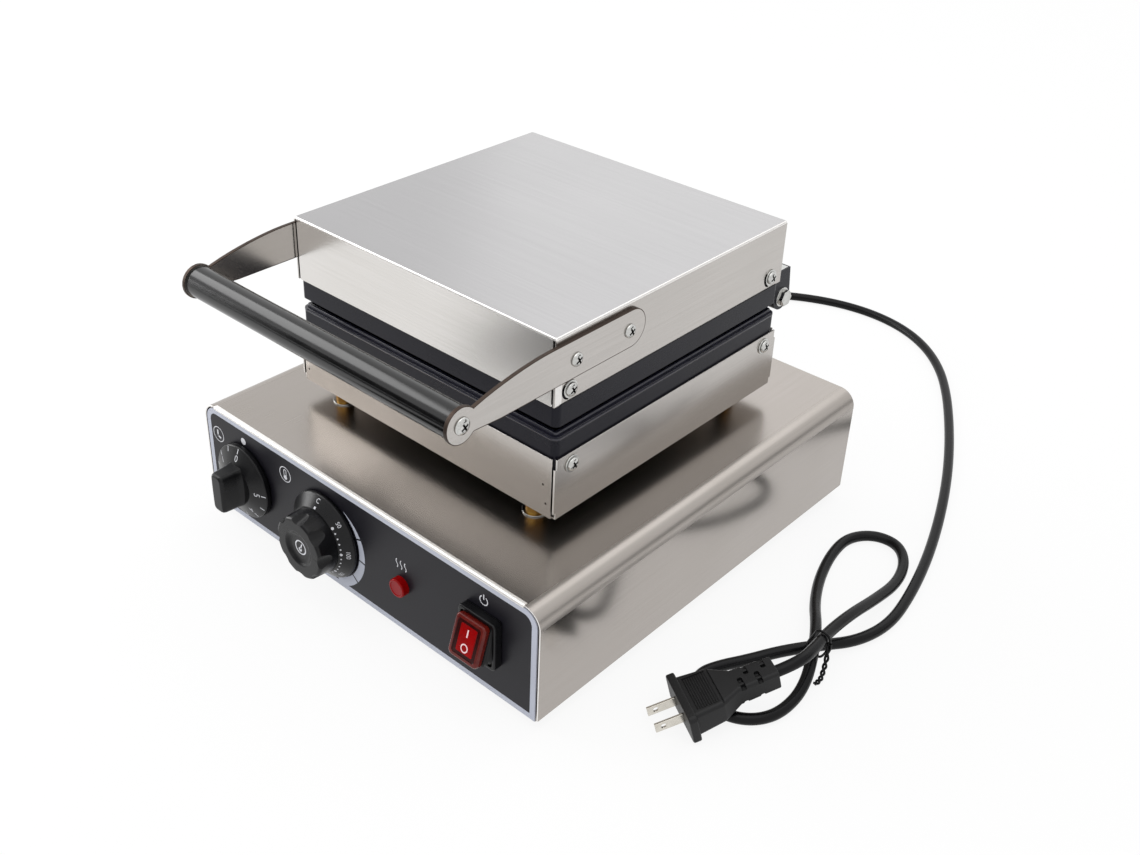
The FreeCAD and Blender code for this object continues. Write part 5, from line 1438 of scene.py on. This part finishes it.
@dataclass
class RockerSwitch:
    """The lit rocker in its black frame, over a rubber boot."""

    pivot: Triple = (108.2, -146.6, 46.5)
    tilt: float = -18
    face: float = -142.4
    half_x: float = 14.25
    half_y: float = 16.5
    height: float = 6
    frame_wall: float = 2
    # Radius of the frame's outer and inner corners
    corners: Pair = (2.6, 2)
    # Half width, half height, corner and distance from the pivot of each level of the cap, and each wall's finish
    levels: tuple[tuple[float, ...], ...] = (
        (10.3, 12, 2.6, 5.2), (11.2, 13, 3, 6), (11.3, 13.1, 3, 8.6), (10.9, 12.7, 2.7, 9.6), (10.2, 12, 2.3, 10),
        (8.8, 10.6, 1.7, 10), (8.5, 10.3, 1.6, 9.5), (6.2, 8.6, 1, 9.5), (5.9, 8.3, 0.9, 9.9))
    # The two walls of the sunk window take the near-black red: painted shade
    walls: tuple[int, ...] = (0, 0, 0, 0, 0, 1, 1, 2)
    marks: float = 9.97
    folds: int = 9
    fold: float = 1.3
    boot_half: Pair = (10.3, 12.2)
    boot_low: float = -3.4
    boot_height: float = 8.8
    boot_corner: float = 2.5
    boot_narrowing: float = 0.6
    # Two distances from the pivot along the boot
    blend_span: Pair = (-3.2, 5.2)

    def leaning(self, share: float, out: float) -> Matrix:
        """Gives the placement of a level of the rocker.

        Args:
            share: how much of the rocker's tilt the level has.
            out: how far it stands out from the pivot.

        Returns:
            The placement, with local Z out of the panel.
        """
        turn = Matrix.Rotation(radians(self.tilt * share), 4, "X")
        return Matrix.Translation(self.pivot) @ turn @ Facing.FRONT.at(0, 0, 0) @ move(z=out)

    def build(self) -> None:
        """Makes the frame, the boot, the cap and its marks."""
        outer, inner = self.corners
        ring = Shape().prism(rounded(self.half_x, self.half_y, outer), self.height).soften(0.9, 3)
        ring.hollow(rounded(self.half_x - self.frame_wall, self.half_y - self.frame_wall, inner), self.height)
        ring.placed(Facing.FRONT.at(self.pivot[0], self.face, self.pivot[2])).show(
            "switch_bezel", [ABS], Body.BASE, Slot.PLASTIC, ["switch_frame"])
        self.boot()
        cap = Shape().loft([(rounded(*sizes), self.leaning(1, out)) for *sizes, out in self.levels], self.walls)
        cap.show("rocker_lens", [RIM_RED, DEEP_RED, CLEAR_RED], Body.ROCKER, Slot.LENS, ["rocker_cap"])
        ink = Shape().stroke((0, 1.8), (0, 6.6), 0.9).placed(self.leaning(1, self.marks))
        ink.add(Shape().band(1.9, 2.7), self.leaning(1, self.marks) @ move(y=-4.9))
        ink.show("rocker_marks", [PINK_INK], Body.ROCKER, Slot.FILM)

    def boot(self) -> None:
        """Makes the folded rubber boot, whose folds lean from the base's angle to the rocker's."""
        sections = []
        for level in range(self.folds):
            share = level / (self.folds - 1)
            half_x, half_y = (half + level % 2 * self.fold for half in self.boot_half)
            corners = rounded(half_x, half_y - self.boot_narrowing * share, self.boot_corner)
            sections.append((corners, self.leaning(share, self.boot_low + self.boot_height * share)))
        boot = Shape().loft(sections).show("rocker_boot", [RUBBER], None, Slot.RUBBER, ["rocker_skirt"])
        start, end = (self.leaning(0, out).translation * MM for out in self.blend_span)
        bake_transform(boot)


# Heads

@dataclass
class PanScrew:
    """A cross-recess pan-head screw, and the washers that go under it."""

    radius: float = 4.2
    height: float = 2.1
    crown: float = 2.6
    crown_drop: float = 0.1
    brim: float = 1.0
    cross: float = 2.5
    cross_half: float = 0.6
    cross_depth: float = 1.3
    cross_turn: float = 0.5
    # How far below the top the painted shade in the cross starts
    grime: float = 0.3
    bore: float = 2.2
    washer_radius: float = 5.4
    washer_height: float = 0.9

    def head(self) -> Shape:
        """Makes the domed head with its cross.

        Returns:
            The head, on local Z from 0.
        """
        dome = Shape().lathe([
            (0, self.height), (self.crown, self.height - self.crown_drop, 0.8, 4), (self.radius, self.brim, 0.7, 4),
            (self.radius, 0, 0.25, 1), (0, 0)], 40)
        arm = Shape().block((-self.cross, -self.cross_half, self.height - self.cross_depth),
                            (self.cross, self.cross_half, self.height + PAST))
        dome.carve(arm.placed(spin(self.cross_turn)).add(arm, spin(self.cross_turn + pi / 2)))
        # The walls and floor of the cross take the dark zinc: painted shade
        return dome.paint(1, lambda face: face.calc_center_median().xy.length < self.crown
                          and face.calc_center_median().z < self.height - self.grime)

    def washer(self) -> Shape:
        """Makes a flat washer.

        Returns:
            The washer, on local Z from 0.
        """
        return Shape().lathe([
            (self.bore, 0), (self.washer_radius, 0, 0.2, 1), (self.washer_radius, self.washer_height, 0.25, 2),
            (self.bore, self.washer_height), (self.bore, 0)], 40)

    def set(self, spots: Sequence[Triple], name: str, body: Body, replaces: Sequence[str], kind: Washer) -> None:
        """Sets screws in both sides of the object.

        Args:
            spots: the faces that the screws or washers sit on, at the right side.
            name: the piece's name.
            body: the body it moves with.
            replaces: the CAD nodes it stands for.
            kind: what lies under each head.
        """
        head, washer = self.head(), self.washer()
        whole = Shape()
        for x, y, z in spots:
            for side, look in ((1, Facing.RIGHT), (-1, Facing.LEFT)):
                at = look.at(side * x, y, z)
                if kind is not Washer.NONE:
                    whole.add(washer, at)
                    at = at @ move(z=self.washer_height)
                whole.add(head, at)
        whole.show(name, [ZINC, ZINC_RECESS_SHADE], body, Slot.PLATED, replaces)


@dataclass
class LowerHead:
    """Posts, folded housing and cast plate under the lid."""

    half_x: float = 110.3
    front: float = -89.8
    back: float = 123.4
    low: float = 96
    top: float = 136
    wall: float = 1.2
    seam: float = 1.3
    notch: float = 1.6
    notch_low: float = 4
    notch_top: float = 6
    screw_y: Pair = (-76.2, 109.8)
    screw_z: float = 128.8
    # Each spot weld's distance from the end sheet's side and from the floor
    welds: tuple[Pair, ...] = ((3.6, 9), (6, 21))
    weld_radius: float = 0.75
    weld_lift: float = 0.03
    plate_x: float = 108.7
    plate_y: float = 105
    plate_corner: float = 4
    least_corner: float = 0.4
    plate_middle: float = 16.8
    # Outer and inner offset from the plate's outline, low and high level and rounding of each rim
    rim_sizes: tuple[tuple[float, ...], ...] = ((0.2, -1.8, 146.3, 149, 1.2), (-1.8, -3.9, 148.5, 151.2, 0.9))
    post: float = 6
    post_play: float = 0.05
    post_brim: float = 1.6
    post_x: float = 85
    post_y: Pair = (-77.2, 110.8)
    post_low: float = 84.02

    def build(self) -> None:
        """Makes the housing and its screws, and dresses the plate and the posts."""
        self.housing()
        self.rims()
        dress(COATING, "lower_plate", edge=0.9)
        dress(BRASS, "support_posts", edge=0.4)
        self.post_washers()
        spots = [(self.half_x, y, self.screw_z) for y in self.screw_y]
        PanScrew().set(spots, "lower_side_screws", Body.BASE, ["lower_screws", "lower_washers"], Washer.PLAIN)

    def post_washers(self) -> None:
        """Makes a bright washer round the foot of each post."""
        ring = PanScrew(bore=self.post + self.post_play, washer_radius=self.post + self.post_brim).washer()
        whole = Shape()
        for side in SIDES:
            for y in self.post_y:
                whole.add(ring, move(side * self.post_x, y, self.post_low))
        whole.show("post_washers", [ZINC], Body.BASE, Slot.PLATED)

    def rims(self) -> None:
        """Makes the plate's round outer edge and the low ridge inside it, which catch the light as two lines."""
        rims = Shape()
        for outer, inner, low, high, edge in self.rim_sizes:
            ring = Shape().prism(self.plate_outline(outer), high - low).soften(edge, 4)
            ring.hollow(self.plate_outline(inner), high - low)
            rims.add(ring, move(0, self.plate_middle, low))
        rims.show("lower_plate_rims", [RIM_COAT_HIGHLIGHT], Body.BASE, Slot.CASTING)

    def plate_outline(self, offset: float) -> list[Corner]:
        """Gives the plate's outline, drawn out by an offset."""
        return rounded(self.plate_x + offset, self.plate_y + offset,
                       max(self.plate_corner + offset, self.least_corner), 6)

    def housing(self) -> None:
        """Makes a floor, two side sheets and two end sheets between them, with open seams at the corners."""
        upright, cut, weld = range(1, 4)
        inner = self.half_x - self.wall
        front, back = self.front + self.notch, self.back - self.notch
        low, top = self.low + self.notch_low, self.top - self.notch_top
        side = Shape().prism([
            (front, self.low), (back, self.low), (back, low), (self.back, low), (self.back, top), (back, top),
            (back, self.top), (front, self.top), (front, top), (self.front, top), (self.front, low), (front, low)],
            self.wall).soften(0.25, 2)
        # The side sheets' cut edges take the paler edge steel: painted highlight
        side.paint(upright).paint(cut, lambda face: abs(face.normal.x) > 0.6)
        box = side.placed(Facing.RIGHT.at(inner, 0, 0)).add(side, Facing.RIGHT.at(-self.half_x, 0, 0))
        reach = inner - self.seam
        for edge, inward in ((self.front, 1), (self.back, -1)):
            end = Shape().block((-reach, edge, self.low), (reach, edge + inward * self.wall, self.top))
            box.add(end.soften(0.3, 2))
        box.add(Shape().block((-inner, front, self.low), (inner, back, self.low + self.wall)))
        for side_x in SIDES:
            for x, z in self.welds:
                at = Facing.FRONT.at(side_x * (reach - x), self.front - self.weld_lift, self.low + z)
                box.add(Shape().disc(self.weld_radius), at, weld)
        box.show("lower_housing_sheet", [STEEL_ACROSS, STEEL_DEPTH, EDGE_HIGHLIGHT, SHEATH], Body.BASE, Slot.SHEET,
                 ["lower_housing"])


@dataclass
class UpperHead:
    """Cast plate and folded cover of the lid, with the hinge bolts."""

    half_x: float = 108.2
    front: float = -90
    back: float = 123.6
    low: float = 169.6
    top: float = 211.8
    wall: float = 1
    roof: float = 1.6
    roof_round: float = 1.1
    # How much deeper the top sheet is while its edges are rounded
    roof_spare: float = 3
    seam: float = 1.3
    screw_y: Pair = (-77.7, 111.3)
    screw_z: float = 176.8
    # Radii of the slot round a part of each screw, and its first angle and turn
    slot: Pair = (5.1, 6.5)
    slot_turn: Pair = (140, 120)
    # The tab at the front corner, a thin plate in the paler edge steel as painted reflection: where it starts and ends
    # in depth and in height, and how far it goes in and out
    tab_y: Pair = (0.4, 5.6)
    tab_z: Pair = (0.6, 13.5)
    tab_in: float = 0.5
    tab_out: float = 0.12
    # Two corners of the right lug's machined face
    lug: tuple[Triple, Triple] = ((93, 124.2, 172.3), (103, 140.6, 172.58))
    hinge: Pair = (135.3, 153)
    hinge_x: float = 104.3
    head: float = 5.6
    head_height: float = 4
    # How far the washer under the head stands out, and its two faces
    washer: float = 1
    washer_faces: Pair = (-0.3, 0.6)
    shank: float = 4
    shank_length: float = 31.5

    def build(self) -> None:
        """Makes the cover, its screws, tabs and machined lug faces, and dresses the plate and bolts."""
        self.cover()
        dress(COATING, "upper_plate", edge=0.9)
        self.hinge_bolts()
        dress(ZINC, "hinge_nuts")
        spots = [(self.half_x, y, self.screw_z) for y in self.screw_y]
        PanScrew().set(spots, "lid_side_screws", Body.LID, ["lid_screws", "lid_washers"], Washer.PLAIN)
        faces = Shape()
        for side in SIDES:
            near, far = ((side * x, y, z) for x, y, z in self.lug)
            faces.add(Shape().block(near, far).soften(0.1, 1))
        faces.show("machined_lug_faces", [BARE_ALUMINIUM], Body.LID, Slot.CASTING)

    def hinge_bolts(self) -> None:
        """Makes two hex bolts, each head with a chamfered rim on a washer."""
        ring = [(self.head * cos(pi / 3 * step), self.head * sin(pi / 3 * step)) for step in range(6)]
        washer = self.head + self.washer
        low, high = self.washer_faces
        bolt = Shape().prism(ring, self.head_height).soften(0.5, 2)
        bolt.add(Shape().lathe([(0, low), (washer, low), (washer, high, 0.2, 1), (0, high)], 40))
        bolt.add(Shape().lathe([(0, -self.shank_length), (self.shank, -self.shank_length, 0.6, 2), (self.shank, 0),
                                (0, 0)], 32))
        whole = Shape()
        for side, look in ((1, Facing.RIGHT), (-1, Facing.LEFT)):
            whole.add(bolt, look.at(side * self.hinge_x, *self.hinge))
        whole.show("hinge_hex_bolts", [ZINC], Body.BASE, Slot.PLATED, ["hinge_bolts"])

    def cover(self) -> None:
        """Makes a top sheet whose round edges carry a painted highlight, notched side sheets and end sheets with open
        seams.
        """
        upright, bright, level = range(1, 4)
        eaves = self.top - self.roof
        roof = Shape().block((-self.half_x, self.front, eaves - self.roof_spare), (self.half_x, self.back, self.top))
        roof.soften(self.roof_round, 4)
        cut = bmesh.ops.bisect_plane(roof.bm, geom=[*roof.bm.verts, *roof.bm.edges, *roof.bm.faces],
                                     plane_co=(0, 0, eaves), plane_no=(0, 0, -1), clear_outer=True)["geom_cut"]
        bmesh.ops.contextual_create(roof.bm, geom=cut)
        # The round edges and thin upright strip take the paler edge steel, painted highlight; the flat top takes the
        # darker top steel, painted shade
        roof.outward().paint(bright).paint(level, lambda face: face.normal.z > 0.98)
        side = Shape().block((self.front, self.low, 0), (self.back, eaves, self.wall)).paint(upright)
        for y in self.screw_y:
            gap = Shape().band(*self.slot, *self.slot_turn)
            bmesh.ops.solidify(gap.bm, geom=list(gap.bm.faces), thickness=3 * self.wall)
            side.carve(gap.placed(move(y, self.screw_z, 2 * self.wall)))
        box = roof.add(side, Facing.RIGHT.at(self.half_x - self.wall, 0, 0))
        box.add(side, Facing.RIGHT.at(-self.half_x, 0, 0))
        reach = self.half_x - self.wall - self.seam
        # The end sheets take the paler lid steel: painted light on the lid's front and back
        for edge, inward in ((self.front, 1), (self.back, -1)):
            box.add(Shape().block((-reach, edge, self.low), (reach, edge + inward * self.wall, eaves)))
        # A tab at each front corner in the paler edge steel: painted reflection
        for side_x in SIDES:
            near, far = ((side_x * (self.half_x + out), self.front + y, self.low + z)
                         for out, y, z in zip((-self.tab_in, self.tab_out), self.tab_y, self.tab_z))
            box.add(Shape().block(near, far), finish=bright)
        box.show("lid_cover_sheet", [STEEL_LID, STEEL_DEPTH, EDGE_HIGHLIGHT, STEEL_TOP], Body.LID, Slot.SHEET,
                 ["lid_cover"])


@dataclass
class Handle:
    """The tube handle, its two arms and their screws."""

    half_x: float = 108.2
    y: float = -160.2
    z: float = 191.9
    radius: float = 9.5
    bore: float = 8.3
    arm: float = 2.2
    arm_end: float = 10.6
    arm_low: float = 183.9
    arm_top: float = 207.4
    arm_rear: float = -17.95
    shoulder: float = -95.2
    heel: float = -133.2
    # How far the bowed top stands off the straight line, and its rounding with its steps
    bow: Pair = (-0.6, 3.9)
    bow_round: Pair = (26, 8)
    neck_angle: float = 40
    # Direction of each corner round the eye and half the angle that it takes, in degrees
    eye: tuple[Pair, ...] = ((65, 25), (135, 45), (225, 45), (295, 25))
    # Shares of the whole roundings, so that neighbours don't meet
    rear_share: float = 0.99
    eye_share: float = 0.98
    # Radius and height of the screw at each end of the tube
    end_screw: Pair = (5, 2.4)
    # Width of the dark frame round each arm's flat faces: painted shade along the arm's outline
    scorch: float = 0.4
    screw_y: Pair = (-75.7, -31.7)
    screw_z: float = 194.9

    def build(self) -> None:
        """Makes the tube, the arms and the screws, and dresses the plugs and nuts."""
        length = 2 * self.half_x
        tube = Shape().lathe([(self.bore, 0), (self.radius, 0, 0.5, 2), (self.radius, length, 0.5, 2),
                              (self.bore, length), (self.bore, 0)], 72)
        tube.placed(Facing.RIGHT.at(-self.half_x, self.y, self.z)).show(
            "handle_tube", [ENAMEL], Body.LID, Slot.ENAMEL, ["handle_grip"])
        blade = Shape().prism(self.arm_outline(), self.arm).soften(0.3, 2, 60)
        # Each flat face gets a thin frame in the cut edge finish: painted shade along the outline
        blade.paint(1, lambda face: abs(face.normal.z) > 0.97).inset(1, self.scorch)
        outer = self.half_x + self.arm
        for name, x in (("left_arm", -outer), ("right_arm", self.half_x)):
            blade.placed(Facing.RIGHT.at(x, 0, 0)).show(
                f"{name}_plate", [CUT_EDGE_AND_SHADE, STEEL_DEPTH], Body.LID, Slot.SHEET, [name])
        spots = [(outer, y, self.screw_z) for y in self.screw_y]
        PanScrew().set(spots, "arm_side_screws", Body.LID, ["arm_screws"], Washer.NONE)
        PanScrew(*self.end_screw).set(
            [(outer, self.y, self.z)], "handle_end_screws", Body.LID, ["handle_screws"], Washer.NONE)
        dress(ABS, "handle_plugs")
        dress(ZINC, "arm_nuts")

    def arm_outline(self) -> list[Corner]:
        """Draws the arm from the side: a round rear end, a bowed top and a round eye at the tube.

        Returns:
            The outline's corners.
        """
        rear = (self.arm_top - self.arm_low) / 2 * self.rear_share
        neck = radians(self.neck_angle)
        neck_y, rise = self.y + self.arm_end * cos(neck), self.arm_end * sin(neck)
        bow_y = (self.shoulder + neck_y) / 2 + self.bow[0]
        bow_z = (self.arm_top + self.z + rise) / 2 + self.bow[1]
        eye: list[Corner] = []
        for angle, half in self.eye:
            reach = self.arm_end / cos(radians(half))
            setback = self.arm_end * tan(radians(half)) * self.eye_share
            eye.append((self.y + reach * cos(radians(angle)), self.z + reach * sin(radians(angle)), setback, 6))
        return [(self.arm_rear, self.arm_low, rear, 8), (self.arm_rear, self.arm_top, rear, 8),
                (self.shoulder, self.arm_top), (bow_y, bow_z, *self.bow_round), (neck_y, self.z + rise),
                *eye, (neck_y, self.z - rise), (self.heel, self.arm_low)]


def dress_works() -> None:
    """Dresses the parts inside the base and the heads."""
    dress(PHENOLIC, "timer_body", "thermostat_body", "switch_body", "terminal_block")
    dress(ZINC, "timer_shaft", "thermostat_shaft", "post_bolts", "post_nuts", "wire_conduit",
          "lower_heater_clamp", "lower_clamp_screws", "upper_heater_clamp", "upper_clamp_screws")
    dress(SHEATH, "lower_heater", "upper_heater")
    dress(COPPER, "thermostat_probe")
    dress(WIRE, "wiring_loom")


def main() -> None:
    """Builds the studio and every part of the waffle maker."""
    logging.basicConfig(level=logging.INFO, format="%(name)s: %(message)s")
    Studio().build()
    for part in (MainsLead(), BaseBox(), ControlFascia(), TimerDial(), TemperatureDial(), HeatLamp(), RockerSwitch(),
                 LowerHead(), UpperHead(), Handle()):
        part.build()
    dress_works()


if __name__ == "__main__":
    main()
